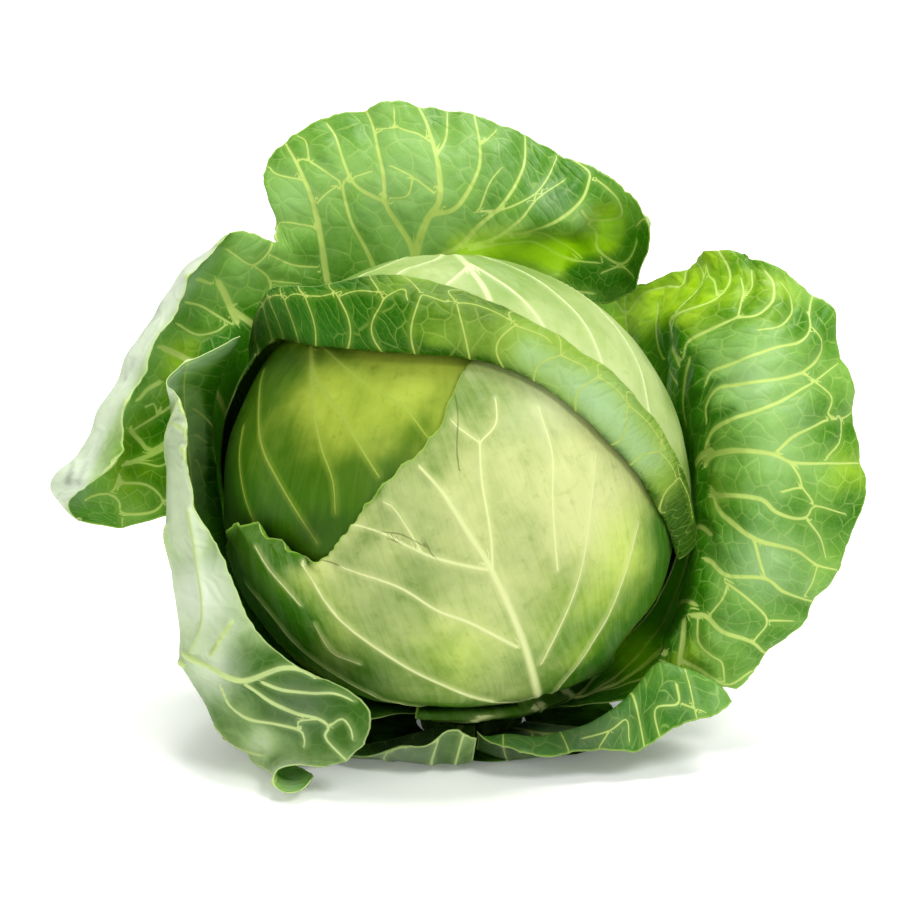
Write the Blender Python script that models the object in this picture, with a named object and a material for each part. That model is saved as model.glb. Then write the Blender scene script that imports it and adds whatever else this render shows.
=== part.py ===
"""A head of white cabbage with its loose outer leaves, resting on its cut stem.

Run it with: blender --background --python part.py

The frame is in metres with +Z up, and the origin is the centre of the stem's cut face. A viewer stands
in front, at -Y, a little above the head. Each leaf is a net of control points. A net has one row of
points for each rib, from the stem to the leaf's margin, and a smooth surface passes through them all.
"""

import math

import bpy
import numpy as np

MM = 0.001

# The tight head: its radius, how high its centre is, and how far behind the stem's middle it lies.
HEAD_RADIUS = 85.5 * MM
HEAD_CENTRE = np.array([-8.0, 5.0, 90.0]) * MM
HEAD_FLAT_BELOW = 58 * MM
HEAD_FLAT_SHARE = 0.52

# The stem, cut off flat just under the lowest leaves.
STEM_RADIUS = 19 * MM
STEM_TOP = 17.3 * MM
STEM_FLARE = 1.5 * MM
STEM_SIDES = 28

# Clearance between a leaf's root and the stem, and where the viewer of the control points stands.
ROOT_GAP = 0.9 * MM
VIEW_TILT = math.radians(18)
VIEW_DISTANCE = 2000 * MM

BLADE = 1.0 * MM

VIEW_RIGHT = np.array([1.0, 0.0, 0.0])
VIEW_UP = np.array([0.0, math.sin(VIEW_TILT), math.cos(VIEW_TILT)])
VIEW_TOWARD = np.array([0.0, -math.cos(VIEW_TILT), math.sin(VIEW_TILT)])


def seen(across, up, toward):
    """A point as the viewer measures it from the head's centre, in millimetres: to the right, up the
    picture, and toward the viewer. What is further off looks smaller, and that is allowed for."""
    shrink = 1 - toward * MM / VIEW_DISTANCE
    return (
        HEAD_CENTRE
        + VIEW_RIGHT * across * MM * shrink
        + VIEW_UP * up * MM * shrink
        + VIEW_TOWARD * toward * MM
    )


def on_head(across, up, lift):
    """The near point of a ball that stands `lift` millimetres out of the head, at a place in the view."""
    radius = HEAD_RADIUS / MM + lift
    return seen(across, up, math.sqrt(max(radius**2 - across**2 - up**2, 0.0)))


def around(azimuth, elevation, radius):
    """A point round the head's centre. Azimuth 0 is to the right and 90 behind, in degrees."""
    turn, rise = math.radians(azimuth), math.radians(elevation)
    level = math.cos(rise)
    way = np.array([math.cos(turn) * level, math.sin(turn) * level, math.sin(rise)])
    return HEAD_CENTRE + way * radius * MM


def great_circle(start, end, share):
    """The point a share of the way round the head's centre from start to end."""
    a, b = start - HEAD_CENTRE, end - HEAD_CENTRE
    near, far = np.linalg.norm(a), np.linalg.norm(b)
    angle = math.acos(float(a @ b) / near / far)
    way = (math.sin((1 - share) * angle) * a / near + math.sin(share * angle) * b / far) / math.sin(angle)
    return HEAD_CENTRE + way * (near + (far - near) * share)


def at_stem(azimuth, height):
    """A point on a leaf's root, on a ring round the stem."""
    turn = math.radians(azimuth)
    ring = STEM_RADIUS + STEM_FLARE + ROOT_GAP
    return np.array([math.cos(turn) * ring, math.sin(turn) * ring, height * MM])


# The outermost wrapper leaves of the head


def front_leaf_net():
    """The broad pale leaf that wraps the front of the head. Its ribs fan out from low on the right."""
    root_height, clasp_radius, lift = 12.4, 88.0, 2.0
    ribs = [
        (256, [(-29, -77), (-58, -58), (-75, -40), (-83, -18)], 1.0),
        (265, [(-15, -79), (-45, -60), (-67, -36), (-80, -9)], 4.0),
        (274, [(-1, -76), (-30, -58), (-52, -34), (-67, -12)], 5.0),
        (283, [(11, -73), (-12, -58), (-34, -39), (-53, -22)], 1.0),
        (291, [(18, -67), (-2, -48), (-20, -28), (-39, -11)], 0.5),
        (299, [(23, -61), (8, -38), (-8, -12), (-21, 11)], 0.5),
        (307, [(27, -58), (17, -32), (6, -2), (-5, 28)], 0.5),
        (315, [(31, -56), (25, -24), (16, 14), (8, 52)], 0.0),
        (325, [(38, -54), (40, -18), (39, 19), (34, 54)], 0.0),
        (335, [(47, -55), (57, -24), (63, 6), (64, 36)], 0.0),
        (345, [(56, -57), (70, -36), (78, -13), (80, 10)], 0.0),
        (354, [(62, -57), (76, -38), (82, -22), (84, -6)], 0.0),
    ]
    net = []
    for azimuth, places, margin_lift in ribs:
        rib = [at_stem(azimuth, root_height), around(azimuth, -52, clasp_radius)]
        for place in places[:-1]:
            rib.append(on_head(*place, lift))
        rib.append(on_head(*places[-1], lift + margin_lift))
        net.append(rib)
    return np.array(net)


def cap_leaf_net():
    """The leaf that comes up the back of the head and over its top. Its rim is folded back on itself.
    Each rib has its azimuth at the stem, then the azimuth and elevation of its crown and of the place
    under its folded rim, then the fold, the band and the margin."""
    root_height, shell_radius = 12.4, 89.8
    ribs = [
        (163, (165, 0), (169, 19), (-76, 50, 3), (-75.5, 54, 4), (-76, 58, 4)),
        (159, (161, 18), (168, 36), (-66, 60, 22), (-69, 69, 23), (-70, 75, 14)),
        (155, (154, 38), (180, 50), (-58, 59, 41), (-62, 71, 41), (-63, 79, 29)),
        (148, (142, 58), (200, 62), (-43, 57, 58), (-45, 71, 59), (-48, 80, 46)),
        (132, (125, 72), (227, 70), (-19, 55.5, 72), (-21, 71, 71), (-24, 84, 53)),
        (108, (90, 81), (282, 68), (7.5, 53, 76), (7, 66, 76), (8, 77, 63)),
        (80, (45, 72), (314, 51), (34, 43.5, 75), (38, 53, 75), (43, 60, 67)),
        (54, (30, 50), (327, 35), (57, 25, 70), (62, 34, 70), (68, 41, 60)),
        (30, (14, 25), (337, 17), (75, 3, 54), (81, 10, 53), (85, 17, 43)),
        (8, (0, -8), (348, -6), (86, -24, 22), (91, -20, 23), (93, -14, 18)),
    ]
    net = []
    for azimuth, top, below, fold, band, margin in ribs:
        low = around(azimuth, -50, shell_radius)
        crown, under = around(*top, shell_radius), around(*below, shell_radius)
        back, over = great_circle(low, crown, 0.5), great_circle(crown, under, 0.5)
        rib = [at_stem(azimuth, root_height), low, back, crown, over, under]
        net.append(rib + [seen(*fold), seen(*band), seen(*margin)])
    return np.array(net)


# The loose outer leaves


def loose_leaf_net(root_height, clasp, ribs):
    """A leaf that leaves the stem, clasps the head at the stated (elevation, radius), and then opens
    through the points that the viewer sees. Each rib is its azimuth and those points."""
    net = []
    for azimuth, *places in ribs:
        low, first = around(azimuth, *clasp), seen(*places[0])
        rib = [at_stem(azimuth, root_height), low, great_circle(low, first, 0.5)]
        net.append(rib + [seen(*place) for place in places])
    return np.array(net)


def right_leaf_net():
    """A cup round the head's right side whose brim rolls outward."""
    ribs = [
        (58, (52, 52, -82), (55, 62, -83), (57, 69, -82), (58, 75, -79)),
        (47, (71, 55, -56), (73, 66, -58), (75, 74, -60), (76, 80, -62)),
        (34, (83, 64, -34), (90, 71, -28), (103, 81, -30), (100, 92, -42)),
        (23, (87, 56, -16), (107, 67, -3), (121, 75, -9), (119, 86, -26)),
        (12, (95, 41, 2), (115, 54, 14), (132, 59, 4), (140, 73, -14)),
        (4, (96, 25, 8), (112, 32, 22), (132, 39, 16), (147, 52, -6)),
        (-3, (97, 14, 10), (116, 16, 25), (137, 14, 18), (154, 18, -2)),
        (-9, (98, -3, 12), (113, -12, 25), (131, -20, 20), (150, -18, 4)),
        (-14, (97, -23, 14), (111, -30, 24), (127, -36, 20), (140, -37, 8)),
        (-19, (91, -45, 14), (104, -49, 21), (115, -53, 19), (126, -54, 12)),
        (-26, (86, -65, 11), (92.5, -69, 13.5), (99, -72, 14), (107, -73.5, 12)),
    ]
    return loose_leaf_net(7.4, (-48, 99), ribs)


def back_leaf_net():
    """The largest leaf. It wraps the head's left and back, stands above it, and its left rim is rolled in."""
    ribs = [
        (172, (-99, -8, -24), (-113, -11, -15), (-129, -13, -7), (-139, -11, 0)),
        (169, (-98, 1, -25), (-120, -1, -14), (-150, 1, -3), (-141, -1, 8)),
        (166, (-98, 9, -26), (-117, 11, -16), (-144, 12, -4), (-127, 9, 14)),
        (162, (-96, 21, -28), (-112, 26, -20), (-132, 31, -9), (-120, 31, 8)),
        (157, (-94, 32, -30), (-107, 41, -24), (-123, 49, -15), (-112, 52, 0)),
        (151, (-86, 45, -34), (-97, 56, -30), (-110, 70, -23), (-101, 73, -10)),
        (144, (-78, 56, -40), (-88, 69, -36), (-95, 87, -31), (-87, 93, -23)),
        (138, (-70, 62, -44), (-80, 74, -40), (-85, 88, -35), (-79, 100, -36)),
        (129, (-56, 73, -48), (-60, 82, -44), (-63, 90, -42), (-64, 97, -41)),
        (121, (-46, 77, -50), (-53, 97, -44), (-62, 112, -46), (-70, 122, -54)),
        (112, (-32, 78, -53), (-38, 100, -44), (-46, 122, -45), (-53, 138, -58)),
        (104, (-18, 78, -55), (-22, 103, -43), (-26, 124, -43), (-32, 146, -58)),
        (97, (-9, 79, -56), (-6, 104, -41), (-4, 124, -42), (-9, 147, -56)),
        (91, (-2, 80, -56), (12, 102, -39), (22, 118, -40), (24, 137, -54)),
        (86, (6, 82, -55), (26, 97, -35), (43, 104, -32), (53, 123, -45)),
        (77, (19, 82, -58), (41, 90, -57), (60, 98, -54), (72, 110, -38)),
        (71, (33, 76, -62), (52, 82, -64), (66, 86, -58), (75, 93, -40)),
        (66, (41, 68, -66), (54, 73, -64), (63, 75, -59), (71, 78, -46)),
    ]
    return loose_leaf_net(4.6, (-49, 100), ribs)


def left_leaf_net():
    """A trough at the head's left. Its near lobe curls in at the front, and its low corner is rolled up."""
    ribs = [
        (158, (-88, 10, -22), (-86, 41, -9), (-77, 62, 8)),
        (164, (-93, 6, -16), (-96, 38, -2), (-92, 54, 12)),
        (171, (-98, 0, -10), (-103, 28, 5), (-107, 43, 16)),
        (178, (-100, -6, -4), (-105, 22, 13), (-100, 36, 28)),
        (185, (-101, -14, 4), (-106, 8, 20), (-98, 14, 34)),
        (191, (-102, -24, 12), (-105, -12, 27), (-94, -6, 40)),
        (197, (-102, -36, 18), (-101, -30, 36), (-84, -24, 50)),
        (203, (-101, -48, 20), (-96, -46, 42), (-76, -43, 54)),
        (208, (-101, -57, 20), (-89, -59, 46), (-62, -60, 60)),
        (213, (-98, -68, 20), (-80, -69, 48), (-42, -70, 64)),
        (218, (-92, -79, 18), (-70, -80, 48), (-29, -82, 63)),
        (222, (-87, -87, 16), (-66, -89, 46), (-33, -95, 58)),
        (226, (-81, -92, 16), (-65, -95, 42), (-45, -101.5, 54)),
        (229, (-77, -95, 18), (-66, -98, 40), (-56, -100.5, 53)),
        (232, (-74, -97, 20), (-67, -101, 40), (-65, -103, 54)),
        (235, (-70, -98.5, 23), (-64, -105, 40), (-64, -110, 56)),
        (238, (-65, -99.5, 26), (-58, -106.5, 41), (-56, -111.5, 57)),
        (241, (-58, -100, 27), (-52, -104.5, 40), (-51, -105.5, 54)),
    ]
    return loose_leaf_net(9.8, (-48.5, 94), ribs)


def low_leaf_net(root_height, low_height, ribs):
    """A leaf that lies on the table under the head. It leaves the stem, is at its low height when it is
    half way out, and then goes through the points that the viewer sees."""
    net = []
    for azimuth, *places in ribs:
        root, first = at_stem(azimuth, root_height), seen(*places[0])
        half = (root + first) / 2
        half[2] = low_height * MM
        net.append([root, half, *[seen(*place) for place in places]])
    return np.array(net)


def low_left_leaf_net():
    """A small leaf under the front of the head, with its rim turned up."""
    ribs = [
        (245, (-42, -96, 8), (-38, -97, 24)),
        (252, (-23, -99, 19), (-20, -95, 34)),
        (259, (-9, -100, 24), (-8, -91.5, 39)),
        (266, (0, -100, 25), (2, -87.5, 39)),
        (274, (8.5, -99.5, 24), (10, -90, 36)),
    ]
    return low_leaf_net(7.6, 4.0, ribs)


def low_right_leaf_net():
    """A leaf on the table in front on the right, whose wavy rim turns up and then out."""
    ribs = [
        (286, (10, -95, 15), (10.5, -91, 24), (10, -88, 32)),
        (294, (22, -98, 20), (22, -90, 32), (23, -96, 40)),
        (302, (35, -97, 21), (37, -90, 34), (42, -98, 40)),
        (309, (48, -94, 20), (51, -86, 35), (57, -96, 38)),
        (316, (60, -88, 17), (64, -79, 33), (69, -97, 36)),
        (323, (71, -83, 14), (77, -66.5, 28), (80, -91, 35)),
        (330, (80, -81, 12), (87, -66, 28), (91, -85, 34)),
        (336, (86, -81, 9), (95, -67.5, 25), (99, -83, 32)),
        (342, (91, -82, 6), (101, -72, 22), (106, -78, 27)),
    ]
    return low_leaf_net(3.8, 4.5, ribs)


# Surfaces and solids


def spline_shares(knots, between):
    """What each knot gives a natural cubic spline, at `between` places from every knot to the next."""
    points, gap = len(knots), np.diff(knots)
    bend, change = np.eye(points), np.zeros((points, points))
    for i in range(1, points - 1):
        near, far = gap[i - 1], gap[i]
        bend[i, i - 1 : i + 2] = near / 6, (near + far) / 3, far / 6
        change[i, i - 1 : i + 2] = 1 / near, -1 / near - 1 / far, 1 / far
    curvature = np.linalg.solve(bend, change)
    place = np.linspace(0, points - 1, (points - 1) * between + 1)
    left = np.minimum(place.astype(int), points - 2)
    far = (place - left)[:, None]
    near, span = 1 - far, gap[left][:, None] ** 2 / 6
    ends = np.eye(points)
    bow = (near**3 - near) * curvature[left] + (far**3 - far) * curvature[left + 1]
    return near * ends[left] + far * ends[left + 1] + span * bow


def mean_knots(net, axis):
    """Knots as far apart as the net's points are, on average, along one of its two directions."""
    steps = np.linalg.norm(np.diff(net, axis=axis), axis=2).mean(axis=1 - axis)
    return np.concatenate([[0], np.cumsum(steps)]) / steps.sum()


def clear_of_head(points, least, most):
    """The points, each moved straight out or in until it is at least `least` and at most `most` out of
    the head's own surface."""
    out = points - HEAD_CENTRE
    out[..., 2] += np.minimum(out[..., 2] + HEAD_FLAT_BELOW, 0) * (1 / HEAD_FLAT_SHARE - 1)
    radius = np.linalg.norm(out, axis=-1, keepdims=True)
    out *= np.clip(radius, HEAD_RADIUS + least, HEAD_RADIUS + most) / radius
    out[..., 2] -= np.minimum(out[..., 2] + HEAD_FLAT_BELOW, 0) * (1 - HEAD_FLAT_SHARE)
    return out + HEAD_CENTRE


def leaf_surface(net, per_rib, per_point, lift, hug):
    """The net's smooth surface on a grid: columns from its first rib to its last, rows from root to
    margin. It stays `lift` millimetres out of the head, and as far as its point number `hug` no more."""
    across = spline_shares(mean_knots(net, 0), per_rib)
    along = spline_shares(mean_knots(net, 1), per_point)
    grid = np.einsum("ia,jb,abk->ijk", across, along, net)
    row = np.arange(grid.shape[1])[:, None]
    most = np.where((row > per_point) & (row <= hug * per_point), lift + 0.4, 1000) * MM
    return clear_of_head(grid, lift * MM, most)


def outward_normals(grid):
    """Unit normals of the grid, pointing away from the head where the leaf clasps it."""
    normal = np.cross(np.gradient(grid, axis=0), np.gradient(grid, axis=1))
    normal /= np.linalg.norm(normal, axis=2, keepdims=True) + 1e-12
    low = grid[:, 2] - HEAD_CENTRE
    return -normal if (normal[:, 2] * low).sum() < 0 else normal


def ruffled(grid, height, waves, start):
    """The grid with its margin waved along its normals, from nothing at the row share `start`."""
    columns, rows = grid.shape[:2]
    side = np.linspace(0, 1, columns)[:, None]
    out = np.clip((np.linspace(0, 1, rows)[None] - start) / (1 - start), 0, 1) ** 1.5
    wave = height * out * np.sin(2 * np.pi * waves * side)
    return grid + wave[..., None] * outward_normals(grid)


def rib_relief(columns, rows, ribs, midrib, root_height, vein_height):
    """How far the ribs stand out of the leaf's outer face: tall at the midrib's root, low at the margin."""
    place = np.linspace(0, ribs - 1, columns)[:, None]
    along = np.linspace(0, 1, rows)[None]
    veins = np.exp(-(((place - np.round(place)) / 0.2) ** 2)) * vein_height * (1 - along) ** 0.5
    middle = np.exp(-(((place - midrib) / 0.75) ** 2)) * root_height * (1 - along) ** 1.6
    return (veins + middle) * np.minimum(1, along / 0.12 + 0.35)


def leaf_solid(name, grid, relief, blade, material):
    """A closed blade on the grid. Its inner face is half the blade inside the grid, its outer face half
    the blade and the relief outside, and both are split into triangles the same way."""
    columns, rows = grid.shape[:2]
    normal = outward_normals(grid)
    inner = grid - normal * blade / 2
    outer = grid + normal * (blade / 2 + relief[..., None])
    points = np.concatenate([inner.reshape(-1, 3), outer.reshape(-1, 3)])
    number = np.arange(columns * rows).reshape(columns, rows)
    a, b = number[:-1, :-1].ravel(), number[1:, :-1].ravel()
    c, d = number[1:, 1:].ravel(), number[:-1, 1:].ravel()
    face = np.concatenate([np.stack([a, b, c], 1), np.stack([a, c, d], 1)])
    edge = np.concatenate([number[:, 0], number[-1, 1:], number[-2::-1, -1], number[0, -2:0:-1]])
    after = np.roll(edge, -1)
    shift = columns * rows
    wall = np.concatenate(
        [np.stack([edge, after + shift, edge + shift], 1), np.stack([edge, after, after + shift], 1)]
    )
    faces = np.concatenate([face[:, ::-1], face + shift, wall])
    turned = np.cross(grid[1, 2] - grid[0, 2], grid[0, 3] - grid[0, 2]) @ normal[0, 2] < 0
    if turned:
        faces = faces[:, ::-1]
    mesh = bpy.data.meshes.new(name)
    mesh.from_pydata(points.tolist(), [], faces.tolist())
    mesh.materials.append(material)
    mesh.shade_smooth()
    leaf = bpy.data.objects.new(name, mesh)
    bpy.context.scene.collection.objects.link(leaf)
    return leaf


def plant_material(name, colour, roughness):
    """A waxy plant surface."""
    material = bpy.data.materials.new(name)
    material.use_nodes = True
    shader = material.node_tree.nodes["Principled BSDF"]
    shader.inputs["Base Color"].default_value = (*colour, 1)
    shader.inputs["Roughness"].default_value = roughness
    shader.inputs["Metallic"].default_value = 0.0
    return material


def make_heart(material):
    """The tight ball of packed inner leaves, flattened where it sits on the stem."""
    columns, rows = 36, 22
    rise = np.linspace(-math.pi / 2, math.pi / 2, rows + 1)[1:-1]
    turn = np.arange(columns) * 2 * math.pi / columns
    ring = np.stack(
        [
            np.outer(np.cos(rise), np.cos(turn)),
            np.outer(np.cos(rise), np.sin(turn)),
            np.outer(np.sin(rise), np.ones(columns)),
        ],
        axis=2,
    ).reshape(-1, 3)
    points = np.concatenate([ring, [[0, 0, -1], [0, 0, 1]]]) * HEAD_RADIUS
    under = np.minimum(points[:, 2] + HEAD_FLAT_BELOW, 0)
    points[:, 2] -= under * (1 - HEAD_FLAT_SHARE)
    points += HEAD_CENTRE
    faces = []
    for i in range(rows - 2):
        for j in range(columns):
            k = (j + 1) % columns
            faces.append([i * columns + j, i * columns + k, (i + 1) * columns + k, (i + 1) * columns + j])
    bottom, top, last = len(ring), len(ring) + 1, (rows - 2) * columns
    for j in range(columns):
        k = (j + 1) % columns
        faces.append([bottom, k, j])
        faces.append([top, last + j, last + k])
    mesh = bpy.data.meshes.new("heart")
    mesh.from_pydata(points.tolist(), [], faces)
    mesh.materials.append(material)
    mesh.shade_smooth()
    heart = bpy.data.objects.new("heart", mesh)
    bpy.context.scene.collection.objects.link(heart)


def make_stem(material):
    """The short stump that the leaves grow from, with a flat cut face at the origin."""
    profile = [
        (STEM_RADIUS, 0.0),
        (STEM_RADIUS + STEM_FLARE * 0.6, STEM_TOP * 0.3),
        (STEM_RADIUS + STEM_FLARE, STEM_TOP * 0.7),
        (STEM_RADIUS - STEM_FLARE, STEM_TOP),
    ]
    points, faces = [], []
    for radius, height in profile:
        for j in range(STEM_SIDES):
            turn = 2 * math.pi * j / STEM_SIDES
            points.append((radius * math.cos(turn), radius * math.sin(turn), height))
    for i in range(len(profile) - 1):
        for j in range(STEM_SIDES):
            k = (j + 1) % STEM_SIDES
            faces.append(
                [i * STEM_SIDES + j, i * STEM_SIDES + k, (i + 1) * STEM_SIDES + k, (i + 1) * STEM_SIDES + j]
            )
    faces.append(list(range(STEM_SIDES))[::-1])
    faces.append([(len(profile) - 1) * STEM_SIDES + j for j in range(STEM_SIDES)])
    mesh = bpy.data.meshes.new("stem")
    mesh.from_pydata(points, [], faces)
    mesh.materials.append(material)
    stem = bpy.data.objects.new("stem", mesh)
    bpy.context.scene.collection.objects.link(stem)


def make_leaf(name, net, material, steps, fit, ribs, wave=None):
    """A leaf from its net. `steps` are the grid's columns from rib to rib and rows from point to point,
    `fit` how it lies on the head, and `ribs` the midrib's place and the heights of midrib and ribs."""
    midrib, root, vein = ribs
    grid = leaf_surface(net, *steps, *fit)
    if wave:
        height, waves, start = wave
        grid = ruffled(grid, height * MM, waves, start)
    columns, rows = grid.shape[:2]
    relief = rib_relief(columns, rows, len(net), midrib, root * MM, vein * MM)
    return leaf_solid(name, grid, relief, BLADE, material)


def main():
    for old in list(bpy.data.objects):
        bpy.data.objects.remove(old)
    heart_green = plant_material("heart_leaf", (0.42, 0.55, 0.12), 0.4)
    pale_green = plant_material("head_leaf", (0.60, 0.68, 0.26), 0.4)
    outer_green = plant_material("outer_leaf", (0.20, 0.42, 0.12), 0.42)
    grey_green = plant_material("outer_leaf_under", (0.46, 0.56, 0.38), 0.5)
    stem_white = plant_material("stem_flesh", (0.72, 0.74, 0.52), 0.6)

    make_stem(stem_white)
    make_heart(heart_green)
    make_leaf("head_leaf_front", front_leaf_net(), pale_green, (2, 3), (2.0, 4), (5.2, 2.0, 0.4))
    make_leaf("head_leaf_cap", cap_leaf_net(), pale_green, (2, 3), (4.0, 5), (5.2, 1.2, 0.3))
    make_leaf(
        "outer_leaf_right", right_leaf_net(), outer_green, (2, 3), (7.4, 0), (4.5, 2.2, 0.7), (1.6, 9, 0.62)
    )
    make_leaf(
        "outer_leaf_back", back_leaf_net(), outer_green, (2, 3), (9.5, 0), (11.5, 2.2, 0.7), (1.2, 13, 0.7)
    )
    make_leaf("outer_leaf_left", left_leaf_net(), grey_green, (2, 3), (6.8, 0), (8.0, 1.6, 0.6))
    make_leaf("outer_leaf_low_left", low_left_leaf_net(), grey_green, (3, 3), (7.4, 0), (2.0, 0.4, 0.3))
    make_leaf("outer_leaf_low_right", low_right_leaf_net(), outer_green, (2, 3), (9.5, 0), (4.0, 0.5, 0.4))


main()
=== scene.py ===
"""Looks for a head of white cabbage with its loose outer leaves, standing on its cut stem."""

import math

import bpy
import numpy as np
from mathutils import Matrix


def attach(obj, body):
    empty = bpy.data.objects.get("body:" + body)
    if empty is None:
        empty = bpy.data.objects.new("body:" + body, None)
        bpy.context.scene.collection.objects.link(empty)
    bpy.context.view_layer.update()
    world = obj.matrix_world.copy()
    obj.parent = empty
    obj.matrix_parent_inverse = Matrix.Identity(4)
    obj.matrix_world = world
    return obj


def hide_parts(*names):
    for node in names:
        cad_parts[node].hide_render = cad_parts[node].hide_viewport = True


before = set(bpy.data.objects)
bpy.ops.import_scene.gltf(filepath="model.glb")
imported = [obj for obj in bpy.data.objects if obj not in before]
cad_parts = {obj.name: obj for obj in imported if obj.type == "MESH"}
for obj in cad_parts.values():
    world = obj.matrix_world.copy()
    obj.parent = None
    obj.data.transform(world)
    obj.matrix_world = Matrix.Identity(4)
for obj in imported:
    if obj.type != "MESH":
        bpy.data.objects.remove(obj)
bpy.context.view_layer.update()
MM = 0.001

# The viewer. The head is seen from the front and a little above, from far enough off that its lines stay
# nearly parallel. Places on the leaves are written as this viewer measures them from the head's centre.
HEAD_CENTRE = np.array([-8.0, 5.0, 90.0]) * MM
VIEW_TILT = math.radians(18)
VIEW_DISTANCE = 2000 * MM
VIEW_WIDTH = 340.1 * MM
VIEW_AIM = (1.3 * MM, 15.6 * MM)
SENSOR = 36.0
VIEW_RIGHT = np.array([1.0, 0.0, 0.0])
VIEW_UP = np.array([0.0, math.sin(VIEW_TILT), math.cos(VIEW_TILT)])
VIEW_TOWARD = np.array([0.0, -math.cos(VIEW_TILT), math.sin(VIEW_TILT)])

camera_data = bpy.data.cameras.new("viewer")
camera_data.sensor_width = SENSOR
camera_data.lens = SENSOR * VIEW_DISTANCE / VIEW_WIDTH
camera_data.clip_start = 0.1
camera_data.clip_end = 20
camera = bpy.data.objects.new("viewer", camera_data)
camera.location = (
    HEAD_CENTRE + VIEW_RIGHT * VIEW_AIM[0] + VIEW_UP * VIEW_AIM[1] + VIEW_TOWARD * VIEW_DISTANCE
)
camera.rotation_euler = (math.pi / 2 - VIEW_TILT, 0, 0)
bpy.context.scene.collection.objects.link(camera)
bpy.context.scene.camera = camera


def seen(across, up, toward):
    """A point as the viewer measures it from the head's centre, in millimetres: to the right, up the
    picture, and toward the viewer. What is further off looks smaller, and that is allowed for."""
    shrink = 1 - toward * MM / VIEW_DISTANCE
    return (
        HEAD_CENTRE
        + VIEW_RIGHT * across * MM * shrink
        + VIEW_UP * up * MM * shrink
        + VIEW_TOWARD * toward * MM
    )


def view_of(points):
    """The reverse of seen: each point's place to the right, up and toward the viewer, in millimetres."""
    out = (points - HEAD_CENTRE) / MM
    toward = out @ VIEW_TOWARD
    shrink = 1 - toward * MM / VIEW_DISTANCE
    return np.stack([out @ VIEW_RIGHT / shrink, out @ VIEW_UP / shrink, toward], axis=-1)


# The heart: the tight ball of packed inner leaves. Only its upper left shows, smooth and olive green, with
# soft pale ribs that fan out from under the leaf on top. It is a ball, flattened where it meets the stem.
HEAD_RADIUS = 85.5 * MM
HEAD_FLAT_BELOW = 58 * MM
HEAD_FLAT_SHARE = 0.52


def waves(points, length, count, seed):
    """Smooth random relief, mostly between -1 and 1: the sum of `count` plane waves of about the stated
    length, each in a random direction with a random phase, over the square root of their number."""
    draw = np.random.default_rng(seed)
    way = draw.normal(size=(count, 3))
    way *= (2 * math.pi / length / np.linalg.norm(way, axis=1) * draw.uniform(0.7, 1.4, count))[:, None]
    phase = draw.uniform(0, 2 * math.pi, count)
    return np.cos(points @ way.T + phase).sum(-1) / math.sqrt(count)


def unit(vectors):
    """The vectors over their own lengths, so that each has a length of 1."""
    return vectors / (np.linalg.norm(vectors, axis=-1, keepdims=True) + 1e-12)


def smooth_path(points, steps):
    """A path through the points with `steps` steps from each to the next. It is the Catmull-Rom curve:
    a cubic between two points whose slopes are half the way from each point's neighbour to the other."""
    p = np.asarray(points, float)
    p = np.concatenate([2 * p[:1] - p[1:2], p, 2 * p[-1:] - p[-2:-1]])
    t = np.linspace(0, 1, steps, endpoint=False)[:, None, None]
    a, b, c, d = p[:-3], p[1:-2], p[2:-1], p[3:]
    curve = b + t / 2 * (c - a + t * (2 * a - 5 * b + 4 * c - d + t * (3 * (b - c) + d - a)))
    return np.concatenate([curve.transpose(1, 0, 2).reshape(-1, p.shape[1]), p[-2:-1]])


CATCH = 2.5
SAME_FACE = 7


def laid_on(grid, path):
    """A path that the viewer sees, laid on the surface. Each of its points takes the grid point that the
    viewer sees closest to it, among those within CATCH millimetres of it in the view and at most SAME_FACE
    behind the nearest. Then it moves along the surface, by a cell at most, to be seen in its place."""
    flat = view_of(grid)
    columns, rows = grid.shape[:2]
    put = []
    for place in path:
        off = np.hypot(flat[..., 0] - place[0], flat[..., 1] - place[1])
        reach = max(CATCH, off.min() + 1)
        near = off < reach
        front = flat[..., 2][near].max()
        i, j = np.unravel_index(
            np.argmin(np.where(near & (flat[..., 2] > front - SAME_FACE), off, np.inf)), (columns, rows)
        )
        i, j = min(max(i, 1), columns - 2), min(max(j, 1), rows - 2)
        side = (flat[i + 1, j] - flat[i - 1, j]) / 2
        along = (flat[i, j + 1] - flat[i, j - 1]) / 2
        turn = np.array([side[:2], along[:2]]).T
        short = np.array(place[:2]) - flat[i, j, :2]
        move = np.zeros(2)
        if abs(np.linalg.det(turn)) > 1e-3:
            move = np.clip(np.linalg.solve(turn, short), -1, 1)
        put.append(
            grid[i, j]
            + move[0] * (grid[i + 1, j] - grid[i - 1, j]) / 2
            + move[1] * (grid[i, j + 1] - grid[i, j - 1]) / 2
        )
    return np.array(put)


SHOW_SHARE = 1.6
SHOW_LEAST = 1.15 * MM
PAIRS_AT_ONCE = 4_000_000


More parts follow.
